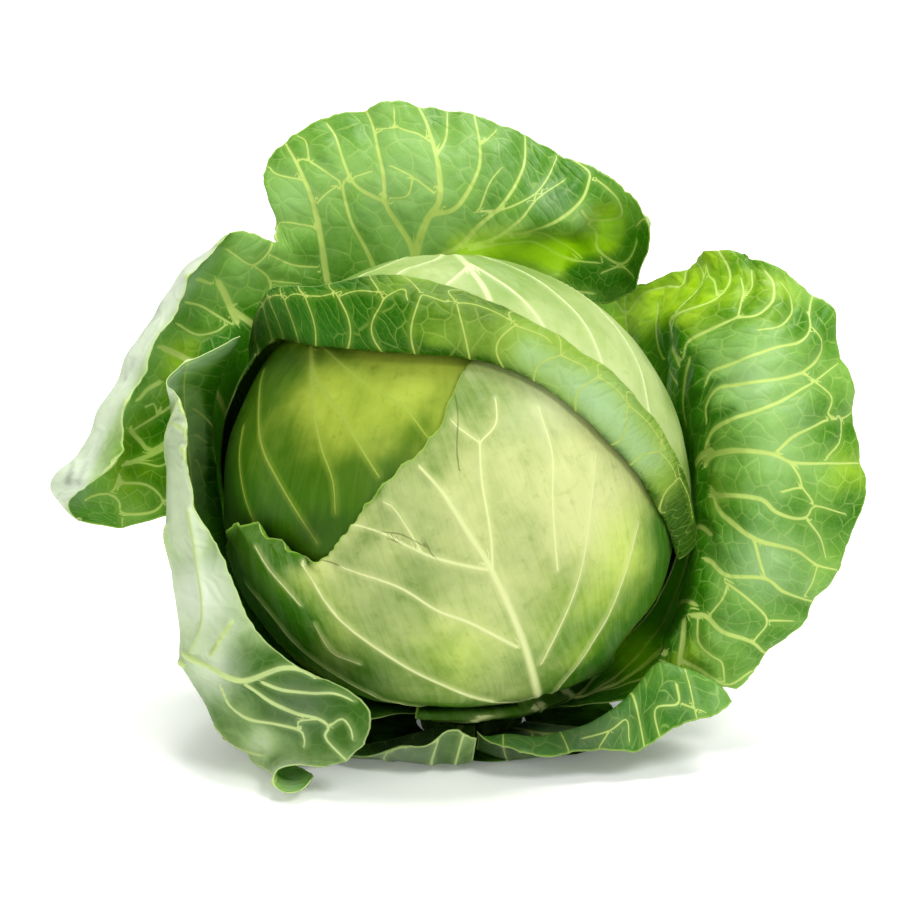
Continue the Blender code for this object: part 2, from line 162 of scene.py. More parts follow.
def vein_fields(points, normals, veins):
    """How far each point is from the nearest vein. The first field is the distance over the vein's half
    width, with a minus sign on the vein's left, the second the plain distance in millimetres, and the
    third the distance over the reach within which the vein may show, which is SHOW_SHARE half widths and
    at least SHOW_LEAST. The points go in parts, so that no table of gaps grows past PAIRS_AT_ONCE."""
    starts = np.concatenate([path[:-1] for path, _ in veins])
    steps = np.concatenate([np.diff(path, axis=0) for path, _ in veins])
    wide = np.concatenate([width[:-1] for _, width in veins])
    grow = np.concatenate([np.diff(width) for _, width in veins])
    squares = (steps**2).sum(1) + 1e-15
    shape = points.shape[:-1]
    flat, up = points.reshape(-1, 3), normals.reshape(-1, 3)
    share, plain, reach = np.empty((3, len(flat)))
    parts = max(1, len(flat) * len(starts) // PAIRS_AT_ONCE)
    for part in np.array_split(np.arange(len(flat)), parts):
        p = flat[part]
        dot = p @ steps.T - (starts * steps).sum(1)
        t = np.clip(dot / squares, 0, 1)
        gap = (
            (p**2).sum(1)[:, None]
            + (starts**2).sum(1)
            + t**2 * squares
            - 2 * p @ starts.T
            - 2 * t * dot
        )
        gap = np.sqrt(np.maximum(gap, 0))
        half = wide + t * grow
        best = np.argmin(gap - half * 0.5, axis=1)
        row = np.arange(len(p))
        side = np.einsum("ij,ij->i", np.cross(steps[best], p - starts[best]), up[part])
        share[part] = np.where(side < 0, -1, 1) * gap[row, best] / half[row, best]
        plain[part] = gap[row, best] / MM
        reach[part] = gap[row, best] / np.maximum(half[row, best] * SHOW_SHARE, SHOW_LEAST)
    return share.reshape(shape), plain.reshape(shape), reach.reshape(shape)


FIELD_FAR = 30.0
FIELD_SHARES = 8.0
SCAR_ZERO = 100.0


def vein_marks(share, near, reach):
    """The three vein fields as a leaf's finish reads them, each held within the range that it needs."""
    return {
        "vein": np.clip(share, -FIELD_SHARES, FIELD_SHARES),
        "wide": np.clip(reach, 0, FIELD_SHARES),
        "near": np.minimum(near, FIELD_FAR),
    }


def scar_field(points, normals, scars):
    """The signed distance to the nearest scar line in millimetres, plus SCAR_ZERO. A piece without this
    field reads as 0, which is far from any scar."""
    share = vein_fields(points, normals, [(line, np.full(len(line), MM)) for line in scars])[0]
    return SCAR_ZERO + np.clip(share, -FIELD_FAR, FIELD_FAR)


def set_fields(mesh, fields):
    """Each named field, one number for each vertex, kept in the mesh for its material."""
    for name, values in fields.items():
        mesh.attributes.new(name, "FLOAT", "POINT").data.foreach_set(
            "value", np.ascontiguousarray(values.ravel(), np.float32)
        )


class Nodes:
    """A material's nodes. A call adds one node, sets or links its inputs, and gives the node. A node that
    is an input of another stands for its own result: a Mix node's colour, or any other's first output."""

    MIX_INPUTS = (0, 6, 7)
    MIX_RESULT = 2

    def __init__(self, name):
        self.material = bpy.data.materials.new(name)
        self.material.use_nodes = True
        self.tree = self.material.node_tree
        self.tree.nodes.clear()

    def __call__(self, kind, *inputs, **settings):
        made = self.tree.nodes.new("ShaderNode" + kind)
        named = settings.pop("named", {})
        for setting, value in settings.items():
            setattr(made, setting, value)
        for place, value in [*enumerate(inputs), *named.items()]:
            self.put(made.inputs[place], value)
        return made

    def put(self, place, value):
        """One input, linked to another node's result or set to a value. A colour gets an alpha of 1."""
        if isinstance(value, bpy.types.Node):
            value = value.outputs[self.MIX_RESULT if value.bl_idname == "ShaderNodeMix" else 0]
        if isinstance(value, bpy.types.NodeSocket):
            self.tree.links.new(value, place)
        elif place.type == "RGBA":
            place.default_value = (*value, 1)
        else:
            place.default_value = value

    def math(self, operation, *inputs):
        """A Math node, which works out one sum on numbers."""
        return self("Math", *inputs, operation=operation)

    def between(self, value, low, high, first=0.0, last=1.0):
        """The value moved smoothly from `first` at `low` to `last` at `high`: with t the share of the way
        from low to high, held between 0 and 1, first + (last - first) * (3 t squared - 2 t cubed)."""
        return self("MapRange", value, low, high, first, last, interpolation_type="SMOOTHSTEP")

    def mixed(self, share, first, last):
        """A colour that goes from the first colour to the last as the share goes from 0 to 1."""
        mix = self("Mix", data_type="RGBA")
        for place, value in zip(self.MIX_INPUTS, (share, first, last)):
            self.put(mix.inputs[place], value)
        return mix


def leaf_finish(
    name, dark, light, vein, rim, roughness, through, glow, net_size, net_depth, bloom, netting,
    crisp=0.5, mottling=0.2, uneven=1.0, wax=(0.42, 0.60, 0.36), halo_share=0.3, streaks=0.0,
    fresh_and_painted_glow=((0.025, 0.16, 0.001), (0.36, 0.66, 0.01)),
):
    """One side of a leaf. Its green runs from `dark` to `light` in soft clouds as strong as `uneven`, with
    the tone field added. That field is partly the leaf's own paler and darker patches and partly painted
    light and shade: pale where light falls or shines through, dark as painted shade in creases, hollows
    and under other leaves, sinking toward near black as it falls from -0.15 to -1.1. The green goes over
    to the pair `fresh_and_painted_glow` where the hue field rises to 1: partly young yellow-green tissue,
    partly a painted glow of light coming through the blade from behind. Where the hue falls to -1, the wax
    hides the green, partly the leaf's pale bloom and partly painted sheen on rims seen edge-on, and elsewhere
    it does by up to `bloom`, dimmed as painted shade where the tone is low. Dark mottles and fibres along the
    leaf are as strong as `mottling` and `streaks` say.

    Veins take the colour `vein`, with sides from soft at 0 to sharp at 0.8 as `crisp` says, and a pale
    halo of the strength `halo_share`. Between them is a net of veinlets, `net_size` millimetres from one
    to the next and as strong as `netting`, which stands up by `net_depth` or is sunk where that is below
    0. The share `through` of the light comes through the blade in the colour `glow`."""
    n = Nodes(name)
    place = n("TexCoord").outputs["Object"]
    metric = n("UVMap", uv_map="UVMap")
    clouds = n("TexNoise", place, named={"Scale": 26.0, "Detail": 4.0, "Roughness": 0.6})
    specks = n("TexNoise", place, named={"Scale": 240.0, "Detail": 3.0, "Roughness": 0.6})
    # The tone field: the leaf's own paler and darker patches, together with painted light and painted shade.
    tone_and_painted_light = n("Attribute", attribute_name="tone_and_painted_light").outputs["Fac"]
    cloudy = n.between(clouds, 0.0, 1.0, 0.5 - uneven, 0.5 + uneven)
    cloudy.interpolation_type = "LINEAR"
    toned_with_painted_light = n.math("ADD", cloudy, tone_and_painted_light)
    lightness = n.between(toned_with_painted_light, 0.1, 0.9)
    # The hue field: the leaf's own yellower and greyer parts, together with a painted glow where light comes
    # through the blade from behind, and painted sheen where it falls to -1.
    hue_with_painted_glow_and_sheen = n("Attribute", attribute_name="hue_with_painted_glow_and_sheen").outputs["Fac"]
    green = n.mixed(lightness, dark, light)
    green = n.mixed(n.between(hue_with_painted_glow_and_sheen, 0.0, 1.0), green, n.mixed(lightness, *fresh_and_painted_glow))
    mottle = n("TexNoise", place, named={"Scale": 95.0, "Detail": 5.0, "Roughness": 0.7, "Distortion": 0.6})
    green = n.mixed(n.between(mottle, 0.5, 0.75, 0.0, mottling), green, dark)
    fleck = tuple(part * 0.72 for part in dark)
    green = n.mixed(n.between(specks, 0.55, 0.8, 0.0, 0.3), green, fleck)
    along = n("Mapping", metric, named={"Scale": (1.0, 0.1, 1.0)})
    fibres = n("TexNoise", along, named={"Scale": 300.0, "Detail": 5.0, "Roughness": 0.7, "Distortion": 1.2})
    green = n.mixed(n.between(fibres, 0.42, 0.62, 0.0, streaks), green, wax)
    green = n.mixed(n.between(fibres, 0.36, 0.5, streaks, 0.0), green, dark)

    warp = n("TexNoise", place, named={"Scale": 90.0, "Detail": 1.0})
    wander = (6 * MM, 6 * MM, 6 * MM)
    sway = n("VectorMath", warp.outputs["Color"], wander, operation="MULTIPLY")
    bent = n("VectorMath", sway, metric, operation="ADD")
    coarse, fine = (
        n(
            "TexVoronoi",
            bent,
            feature="DISTANCE_TO_EDGE",
            voronoi_dimensions="2D",
            named={"Scale": finer / (net_size * MM), "Randomness": 1.0},
        )
        for finer in (1.0, 3.1)
    )
    coarse_net = n.between(coarse, 0.01, 0.06, 1.0, 0.0)
    fine_net = n.between(fine, 0.02, 0.1, 1.0, 0.0)
    netted = n.math("MAXIMUM", coarse_net, n.math("MULTIPLY", fine_net, 0.35))
    pillow = n.between(coarse, 0.0, 0.3)

    # Veins go paler and yellower where the hue is high, with the painted glow.
    fresh_and_glow_vein = tuple(min(1.0, part * 1.3) for part in vein)
    share = n("Attribute", attribute_name="vein").outputs["Fac"]
    near = n("Attribute", attribute_name="near").outputs["Fac"]
    wide = n("Attribute", attribute_name="wide").outputs["Fac"]
    line = n.math(
        "MULTIPLY",
        n.between(n.math("ABSOLUTE", share), crisp, 1.65 - crisp, 0.95, 0.0),
        n.between(wide, 1.0, 1.3, 1.0, 0.0),
    )
    halo = n.between(near, 0.0, 3.0, halo_share, 0.0)
    edge = n("Attribute", attribute_name="edge").outputs["Fac"]
    hem = n.between(edge, 0.2, 1.0, 0.75, 0.0)
    away = n.math("MULTIPLY", n.between(near, 0.6, 2.4), n.between(edge, 0.5, 2.0))

    colour = n.mixed(n.math("MULTIPLY", netted, n.math("MULTIPLY", away, netting)), green, vein)
    colour = n.mixed(halo, colour, tuple((a + b) / 2 for a, b in zip(light, vein)))
    powder = n("TexNoise", place, named={"Scale": 18.0, "Detail": 6.0, "Roughness": 0.7})
    waxed = n.between(n.math("ADD", powder, n.math("MULTIPLY", tone_and_painted_light, 0.5)), 0.45, 0.75, 0.0, bloom)
    # Silver where the hue falls to -1: partly the leaf's pale wax bloom, partly painted sheen on rims seen
    # edge-on.
    silver_bloom_and_painted_sheen = n.math("MULTIPLY", n.between(hue_with_painted_glow_and_sheen, -1.0, 0.0, 1.0, 0.0), n.between(powder, 0.3, 0.6, 0.75, 1.0))
    # The wax dimmed to 0.4 of its colour where the tone is low: painted shade on the bloom.
    wax_with_painted_shade = n.mixed(n.between(toned_with_painted_light, -0.4, 0.6), tuple(part * 0.4 for part in wax), wax)
    colour = n.mixed(n.math("MAXIMUM", waxed, silver_bloom_and_painted_sheen), colour, wax_with_painted_shade)
    line_colour = n.mixed(n.between(hue_with_painted_glow_and_sheen, 0.5, 1.2), vein, fresh_and_glow_vein)
    colour = n.mixed(line, colour, line_colour)
    colour = n.mixed(hem, colour, rim)
    # Painted shade: as the tone falls from -0.15 to -1.1, the colour sinks toward near-black green, for the
    # shade in deep creases, hollows and under other leaves.
    colour = n.mixed(n.between(toned_with_painted_light, -1.1, -0.15, 0.88, 0.0), colour, (0.005, 0.028, 0.0006))
    scar = n("Attribute", attribute_name="scar").outputs["Fac"]
    off_scar = n.math("ABSOLUTE", n.math("SUBTRACT", scar, SCAR_ZERO))
    off_scar = n.math("ADD", off_scar, n.math("MULTIPLY", specks, 0.5))
    colour = n.mixed(n.between(off_scar, 0.3, 0.7, 0.6, 0.0), colour, (0.09, 0.10, 0.02))

    height = n.math("ADD", n.math("MULTIPLY", pillow, -net_depth), n.math("MULTIPLY", specks, 0.2))
    height = n.math("ADD", height, n.math("MULTIPLY", fibres, streaks * 1.2))
    bump = n("Bump", named={"Height": height, "Strength": 0.8, "Distance": 0.6 * MM})
    rough = n.between(clouds, 0.3, 0.7, roughness - 0.06, roughness + 0.08)
    skin = n(
        "BsdfPrincipled",
        named={"Base Color": colour, "Roughness": rough, "Normal": bump, "IOR": 1.42},
    )
    skin.inputs["Specular IOR Level"].default_value = 0.2
    shine = n.mixed(n.between(hue_with_painted_glow_and_sheen, 0.6, 1.3), glow, (0.70, 0.95, 0.01))
    lit = n("BsdfTranslucent", n.mixed(line, shine, line_colour))
    both = n("MixShader", n.between(hue_with_painted_glow_and_sheen, 0.6, 1.3, through, through * 1.9), skin, lit)
    n("OutputMaterial", both)
    return n.material


HEART_RELIEF = 0.35 * MM
HEART_RIB_REACH = 1.6
HEART_DIMPLE = 0.3 * MM
HEART_DIMPLE_LENGTH = 38 * MM
GIRTH_RADIUS = 80 * MM
RISE_RADIUS = 85 * MM
POLE_RISE = 130 * MM
HEART_RIBS = [
    ([(-52, 56), (-52, 44), (-51, 32), (-48, 18), (-44, 6), (-43, -6)], 0.9, 0.15),
    ([(-52, 56), (-50, 44), (-41, 32), (-35, 21), (-27, 8)], 0.9, 0.3),
    ([(-70, 48), (-72, 37), (-71, 20), (-64, 5), (-50, -17)], 0.8, 0.25),
    ([(-78, 26), (-79, 14), (-77, 0), (-73, -11)], 0.7, 0.3),
    ([(-50, 58), (-34, 44), (-18, 34), (-8, 22)], 0.5, 0.3),
]
columns, rows = 300, 170
rise = np.linspace(-math.pi / 2, math.pi / 2, rows + 2)[1:-1]
turn = np.arange(columns) * 2 * math.pi / columns
ball = np.stack(
    [
        np.outer(np.cos(turn), np.cos(rise)),
        np.outer(np.sin(turn), np.cos(rise)),
        np.outer(np.ones(columns), np.sin(rise)),
    ],
    axis=2,
)
ball_up = ball.copy()
ball = ball * HEAD_RADIUS
ball[..., 2] -= np.minimum(ball[..., 2] + HEAD_FLAT_BELOW, 0) * (1 - HEAD_FLAT_SHARE)
ball += HEAD_CENTRE
heart_veins = []
for path, first, last in HEART_RIBS:
    line = laid_on(ball, smooth_path(path, steps=6))
    heart_veins.append((line, np.linspace(first, last, len(line)) * MM))
share, near, reach = vein_fields(ball, ball_up, heart_veins)
raised = HEART_RELIEF * (np.exp(-((near / HEART_RIB_REACH) ** 2)) - 1)
raised += HEART_DIMPLE * waves(ball, HEART_DIMPLE_LENGTH, count=12, seed=3)
ball += ball_up * raised[..., None]
number = np.arange(columns * rows).reshape(columns, rows)
after = np.roll(number, -1, axis=0)
quads = np.stack([number[:, :-1], after[:, :-1], after[:, 1:], number[:, 1:]], axis=-1).reshape(-1, 4)
bottom, top = columns * rows, columns * rows + 1
poles = HEAD_CENTRE + np.array([[0, 0, ball[0, 0, 2] - HEAD_CENTRE[2]], [0, 0, 0.995 * HEAD_RADIUS]])
faces = quads.tolist()
faces += [[bottom, after[j, 0], number[j, 0]] for j in range(columns)]
faces += [[top, number[j, -1], after[j, -1]] for j in range(columns)]
mesh = bpy.data.meshes.new("packed_leaves")
mesh.from_pydata(np.concatenate([ball.reshape(-1, 3), poles]).tolist(), [], faces)
mesh.shade_smooth()


def with_poles(field):
    """A field of the ball's grid, with the mean of its first and last rows for the two poles."""
    return np.concatenate([field.ravel(), [field[:, 0].mean(), field[:, -1].mean()]])


def soft_spots(points, spots):
    """The sum of soft round spots. Each is where the viewer sees its centre, its reach in millimetres,
    and how much it adds: the strength times exp(-(distance / reach) squared). A spot whose centre is a
    list of places is a stroke along them."""
    flat = view_of(points)[..., :2]
    total = np.zeros(points.shape[:-1])
    for *centre, reach, strength in spots:
        if len(centre) == 2:
            off = ((flat - np.array(centre)) ** 2).sum(-1)
        else:
            path = smooth_path(centre[0], steps=4)
            off = np.full(points.shape[:-1], np.inf)
            for start, step in zip(path[:-1], np.diff(path, axis=0)):
                share = np.clip((flat - start) @ step / (step @ step), 0, 1)[..., None]
                off = np.minimum(off, ((flat - start - share * step) ** 2).sum(-1))
        total += strength * np.exp(-off / reach**2)
    return total


# The heart's tone: a little paler in the middle, and painted shade along its left edge beside the left leaf,
# just under the cap's band and low down toward the front.
heart_tone_and_painted_light = soft_spots(
    ball,
    [
        (-22, 34, 20, 0.3),
        (-8, 46, 12, 0.3),
        (-62, 14, 14, -0.2),
        (-36, 8, 8, -0.2),
        (-44, -10, 16, -1.1),
        (-64, -24, 16, -0.9),
        (-58, 46, 9, -0.25),
        ([(-72, 52), (-83, 30), (-86, 8), (-80, -14)], 10, -1.2),
        (-46, 60, 9, -0.6),
        ([(-4, 42), (-16, 18), (-30, 2)], 5, -0.3),
    ],
)
heart_hue = soft_spots(ball, [(-76, 0, 24, 0.7), (-50, 54, 16, 0.3), (-40, -12, 16, 0.4)])
far = np.full(ball.shape[:2], FIELD_FAR)
fields = {**vein_marks(share, near, reach), "edge": far, "tone_and_painted_light": heart_tone_and_painted_light, "hue_with_painted_glow_and_sheen": heart_hue}
set_fields(mesh, {name: with_poles(field) for name, field in fields.items()})
mesh.uv_layers.new(name="UVMap")
corner = np.empty(len(mesh.loops), np.int32)
mesh.loops.foreach_get("vertex_index", corner)
span = np.stack(np.meshgrid(turn * GIRTH_RADIUS, rise * RISE_RADIUS, indexing="ij"), -1).reshape(-1, 2)
span = np.concatenate([span, [[0, -POLE_RISE], [0, POLE_RISE]]])
mesh.uv_layers["UVMap"].data.foreach_set("uv", span[corner].ravel().astype(np.float32))
mesh.materials.append(
    leaf_finish(
        "heart_skin",
        dark=(0.055, 0.13, 0.002),
        light=(0.33, 0.40, 0.055),
        vein=(0.27, 0.35, 0.06),
        rim=(0.5, 0.55, 0.2),
        roughness=0.38,
        through=0.0,
        glow=(0.5, 0.6, 0.1),
        net_size=9,
        net_depth=0.0,
        bloom=0.05,
        netting=0.0,
        crisp=0.0,
        mottling=0.1,
        uneven=0.6,
        wax=(0.38, 0.46, 0.12),
        fresh_and_painted_glow=((0.03, 0.12, 0.001), (0.24, 0.36, 0.02)),
        streaks=0.05,
    )
)
heart = bpy.data.objects.new("packed_leaves", mesh)
bpy.context.scene.collection.objects.link(heart)
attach(heart, "root")
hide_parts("heart")

# The front wrapper leaf: broad, pale and tight round the front of the head, seen from its underside, so its
# ribs stand up. Its margin at the left is darker, torn and curled a little off the head.
STEM_RADIUS = 19 * MM
STEM_FLARE = 1.5 * MM
ROOT_GAP = 0.9 * MM


def on_head(across, up, lift):
    """The near point of a ball that stands `lift` millimetres out of the head, at a place in the view."""
    radius = HEAD_RADIUS / MM + lift
    return seen(across, up, math.sqrt(max(radius**2 - across**2 - up**2, 0.0)))


def around(azimuth, elevation, radius):
    """A point round the head's centre. Azimuth 0 is to the right and 90 behind, in degrees."""
    turn, rise = math.radians(azimuth), math.radians(elevation)
    level = math.cos(rise)
    way = np.array([math.cos(turn) * level, math.sin(turn) * level, math.sin(rise)])
    return HEAD_CENTRE + way * radius * MM


def at_stem(azimuth, height):
    """A point on a leaf's root, on a ring round the stem."""
    turn = math.radians(azimuth)
    ring = STEM_RADIUS + STEM_FLARE + ROOT_GAP
    return np.array([math.cos(turn) * ring, math.sin(turn) * ring, height * MM])


def spline_shares(knots, places):
    """What each knot gives a natural cubic spline at each place. The curve is straight at its two ends,
    and its slope and bend run on through every knot."""
    points, gap = len(knots), np.diff(knots)
    bend, change = np.eye(points), np.zeros((points, points))
    for i in range(1, points - 1):
        near, far = gap[i - 1], gap[i]
        bend[i, i - 1 : i + 2] = near / 6, (near + far) / 3, far / 6
        change[i, i - 1 : i + 2] = 1 / near, -1 / near - 1 / far, 1 / far
    curvature = np.linalg.solve(bend, change)
    left = np.clip(np.searchsorted(knots, places, side="right") - 1, 0, points - 2)
    far = ((places - knots[left]) / gap[left])[:, None]
    near, span = 1 - far, gap[left][:, None] ** 2 / 6
    ends = np.eye(points)
    bow = (near**3 - near) * curvature[left] + (far**3 - far) * curvature[left + 1]
    return near * ends[left] + far * ends[left + 1] + span * bow


def mean_knots(net, axis):
    """Knots as far apart as the net's points are, on average, along one of its two directions."""
    steps = np.linalg.norm(np.diff(net, axis=axis), axis=2).mean(axis=1 - axis)
    return np.concatenate([[0], np.cumsum(steps)]) / steps.sum()


class Blade:
    """A leaf's middle surface on a fine grid, from its net of control points, as natural cubic splines in
    both directions. Columns run from the first rib to the last, and rows from the stem to the margin,
    closer together near the margin. `rib` and `point` say where each column and row is among the net's
    ribs and points. The blade keeps at least `lift` millimetres out of the head, and from the net's
    second point up to the point `hug` no more than a little over that."""

    ROW_BUNCH = 1.2
    HUG_SLACK = 0.4
    NO_LIMIT = 1000

    def __init__(self, net, columns, rows, lift, hug):
        net = np.array(net)
        across, along = mean_knots(net, 0), mean_knots(net, 1)
        side = np.linspace(0, 1, columns)
        up = 1 - (1 - np.linspace(0, 1, rows)) ** self.ROW_BUNCH
        self.rib = np.interp(side, across, np.arange(len(across)))[:, None]
        self.point = np.interp(up, along, np.arange(len(along)))[None]
        self.ribs, self.points = len(across) - 1, len(along) - 1
        grid = np.einsum("ia,jb,abk->ijk", spline_shares(across, side), spline_shares(along, up), net)
        hugged = (self.point.T > 1) & (self.point.T <= hug)
        most = np.where(hugged, lift + self.HUG_SLACK, self.NO_LIMIT) * MM
        out = grid - HEAD_CENTRE
        out[..., 2] += np.minimum(out[..., 2] + HEAD_FLAT_BELOW, 0) * (1 / HEAD_FLAT_SHARE - 1)
        radius = np.linalg.norm(out, axis=-1, keepdims=True)
        out *= np.clip(radius, HEAD_RADIUS + lift * MM, HEAD_RADIUS + most) / radius
        out[..., 2] -= np.minimum(out[..., 2] + HEAD_FLAT_BELOW, 0) * (1 - HEAD_FLAT_SHARE)
        self.grid = out + HEAD_CENTRE
        self.scar = np.zeros(self.grid.shape[:2])
        self.sign = 1.0
        clasp = rows // 6
        if (self.normals()[:, clasp] * (self.grid[:, clasp] - HEAD_CENTRE)).sum() < 0:
            self.sign = -1.0

    def normals(self):
        """Unit normals, pointing away from the head where the leaf clasps it."""
        across, along = np.gradient(self.grid, axis=0), np.gradient(self.grid, axis=1)
        return unit(np.cross(across, along)) * self.sign

    def lift_by(self, height):
        """The surface moved along its normals by a height for each point."""
        self.grid = self.grid + self.normals() * height[..., None]

    def nudge(self, way, spots):
        """Part of the blade moved in one direction, by the sum of soft spots in millimetres."""
        self.grid = self.grid + way * MM * soft_spots(self.grid, spots)[..., None]

    def outer_share(self, start):
        """0 up to the share `start` of the way from the stem to the margin, and evenly up to 1 there."""
        return np.clip((self.point / self.points - start) / (1 - start), 0, 1)

    def ruffle(self, height, count, start):
        """Waves of the margin, `count` of them as a sine, whose height grows as the outer share to the
        power 1.5."""
        out = self.outer_share(start) ** 1.5
        self.lift_by(height * MM * out * np.sin(2 * math.pi * count * self.rib / self.ribs))

    def fray(self, depth, length, seed, start=0.75):
        """An uneven margin: the outermost part of the blade drawn back along itself by a random share of
        `depth`, as the outer share squared, so that notches and teeth about `length` apart show. The
        share is the sum of three random zigzags, each finer and weaker than the one before."""
        draw = np.random.default_rng(seed)
        edge = self.grid[:, -1]
        run = np.concatenate([[0], np.cumsum(np.linalg.norm(np.diff(edge, axis=0), axis=1))])
        cut = np.zeros(len(run))
        for share, size in ((0.55, 1.0), (0.3, 0.4), (0.15, 0.17)):
            knots = np.arange(0, run[-1] + length * MM * size * 2, length * MM * size)
            cut += share * np.interp(run, knots, draw.uniform(0, 1, len(knots)))
        out = self.outer_share(start) ** 2
        along = unit(np.gradient(self.grid, axis=1))
        self.grid = self.grid - along * (out * (cut * depth * MM)[:, None])[..., None]

    def nick_sides(self, depths, length, seed, start=3.0):
        """Notches in the blade's two sides, as in the margin, past the point `start` of the net. The
        first side and the last each have their own depth."""
        draw = np.random.default_rng(seed)
        rows = self.grid.shape[1]
        across = unit(np.gradient(self.grid, axis=0))
        for side, away, depth in ((0, 1, depths[0]), (-1, -1, depths[1])):
            run = np.linalg.norm(np.diff(self.grid[side], axis=0), axis=1)
            run = np.concatenate([[0], np.cumsum(run)])
            knots = np.arange(0, run[-1] + length * MM * 2, length * MM)
            cut = np.interp(run, knots, draw.uniform(0, 1, len(knots))) * np.clip(self.point[0] - start, 0, 1)
            near = np.clip(1 - np.abs(self.rib - self.rib[side]) / 0.5, 0, 1) ** 1.5
            self.grid = self.grid + across * away * (near * (cut * depth * MM)[:rows])[..., None]

    def veins(self, drawn, grown):
        """Vein paths on the surface: those drawn where the viewer sees them, and those grown from the
        stem. Each has its half width in millimetres at its start and its end. A grown one is a list of
        (rib, point) places in the net."""
        found = []
        for path, first, last in drawn:
            line = laid_on(self.grid, smooth_path(path, steps=5))
            found.append((line, np.linspace(first, last, len(line)) * MM))
        for path, first, last in grown:
            path = smooth_path(path, steps=8)
            i = np.interp(path[:, 0], self.rib[:, 0], np.arange(len(self.rib)))
            j = np.interp(path[:, 1], self.point[0], np.arange(self.point.shape[1]))
            a = np.minimum(i.astype(int), len(self.rib) - 2)
            b = np.minimum(j.astype(int), self.point.shape[1] - 2)
            s, t = (i - a)[:, None], (j - b)[:, None]
            g = self.grid
            line = (1 - s) * ((1 - t) * g[a, b] + t * g[a, b + 1]) + s * (
                (1 - t) * g[a + 1, b] + t * g[a + 1, b + 1]
            )
            found.append((line, np.linspace(first, last, len(line)) * MM))
        self.share, self.near, self.reach = vein_fields(self.grid, self.normals(), found)

    def pillow(self, crease, swell, reach):
        """The blade swells between its veins toward its inner face: by `crease` close to a vein and by
        `swell` further off, as 1 - exp(-near / 3) and 1 - exp(-(near / reach) squared)."""
        near = self.near
        self.lift_by(-MM * (crease * (1 - np.exp(-near / 3)) + swell * (1 - np.exp(-((near / reach) ** 2)))))

    def scars(self, drawn):
        """Thin dark cracks and scratches, drawn where the viewer sees them."""
        lines = [laid_on(self.grid, smooth_path(path, steps=4)) for path in drawn]
        self.scar = scar_field(self.grid, self.normals(), lines)

    def edge_distance(self):
        """How far each point is from the blade's margin or side, along the surface, in millimetres."""
        along = np.linalg.norm(np.diff(self.grid, axis=1), axis=2)
        out = np.concatenate([np.cumsum(along[:, ::-1], axis=1)[:, ::-1], np.zeros((len(along), 1))], axis=1)
        across = np.linalg.norm(np.diff(self.grid, axis=0), axis=2)
        left = np.concatenate([np.zeros((1, across.shape[1])), np.cumsum(across, axis=0)])
        return np.minimum(out, np.minimum(left, left[-1] - left)) / MM

    def metric(self):
        """Flat coordinates in metres: how far along its row and how far up its column each point is."""
        across = np.linalg.norm(np.diff(self.grid, axis=0), axis=2)
        along = np.linalg.norm(np.diff(self.grid, axis=1), axis=2)
        u = np.concatenate([np.zeros((1, across.shape[1])), np.cumsum(across, axis=0)])
        v = np.concatenate([np.zeros((len(along), 1)), np.cumsum(along, axis=1)], axis=1)
        return np.stack([u - u[len(u) // 2], v], axis=-1)

    def piece(self, name, node, finishes, thick, rib_height, tone_and_painted_light, hue_with_painted_glow_and_sheen=()):
        """The closed blade as an object. Its inner face takes the first finish, and its outer face and its
        edge take the second. Each face stands half the thickness off the middle surface, less near the
        margin, and the outer one is higher over a vein by rib_height * exp(-(near / 1.3) squared)."""
        columns, rows = self.grid.shape[:2]
        normal = self.normals()
        thin = thick * MM / 2 * np.clip(self.edge_distance() / 1.5, 0.45, 1)
        ridge = rib_height * MM * np.exp(-((self.near / 1.3) ** 2))
        inner = self.grid - normal * thin[..., None]
        outer = self.grid + normal * (thin + ridge)[..., None]
        points = np.concatenate([inner.reshape(-1, 3), outer.reshape(-1, 3)])
        number = np.arange(columns * rows).reshape(columns, rows)
        corners = (number[:-1, :-1], number[1:, :-1], number[1:, 1:], number[:-1, 1:])
        quad = np.stack([corner.ravel() for corner in corners], 1)
        edge = np.concatenate([number[:, 0], number[-1, 1:], number[-2::-1, -1], number[0, -2:0:-1]])
        after = np.roll(edge, -1)
        shift = columns * rows
        wall = np.stack([edge, after, after + shift, edge + shift], 1)
        faces = np.concatenate([quad[:, ::-1], quad + shift, wall])
        if self.sign < 0:
            faces = faces[:, ::-1]
        mesh = bpy.data.meshes.new(name)
        mesh.vertices.add(len(points))
        mesh.vertices.foreach_set("co", points.ravel())
        mesh.loops.add(faces.size)
        mesh.loops.foreach_set("vertex_index", faces.ravel())
        mesh.polygons.add(len(faces))
        mesh.polygons.foreach_set("loop_start", np.arange(len(faces)) * 4)
        for finish in finishes:
            mesh.materials.append(finish)
        worn = np.concatenate([np.zeros(len(quad)), np.ones(len(quad)), np.ones(len(wall))])
        mesh.polygons.foreach_set("material_index", worn.astype(np.int32))
        mesh.update(calc_edges=True)
        mesh.shade_smooth()
        fields = {
            **vein_marks(self.share, self.near, self.reach),
            "edge": np.minimum(self.edge_distance(), FIELD_FAR),
            "tone_and_painted_light": soft_spots(self.grid, tone_and_painted_light),
            "hue_with_painted_glow_and_sheen": soft_spots(self.grid, hue_with_painted_glow_and_sheen),
            "scar": self.scar,
        }
        set_fields(mesh, {key: np.concatenate([value.ravel()] * 2) for key, value in fields.items()})
        flat = np.concatenate([self.metric().reshape(-1, 2)] * 2)
        mesh.uv_layers.new(name="UVMap")
        mesh.uv_layers["UVMap"].data.foreach_set("uv", flat[faces.ravel()].ravel().astype(np.float32))
        made = bpy.data.objects.new(name, mesh)
        bpy.context.scene.collection.objects.link(made)
        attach(made, "root")
        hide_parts(node)
        return made


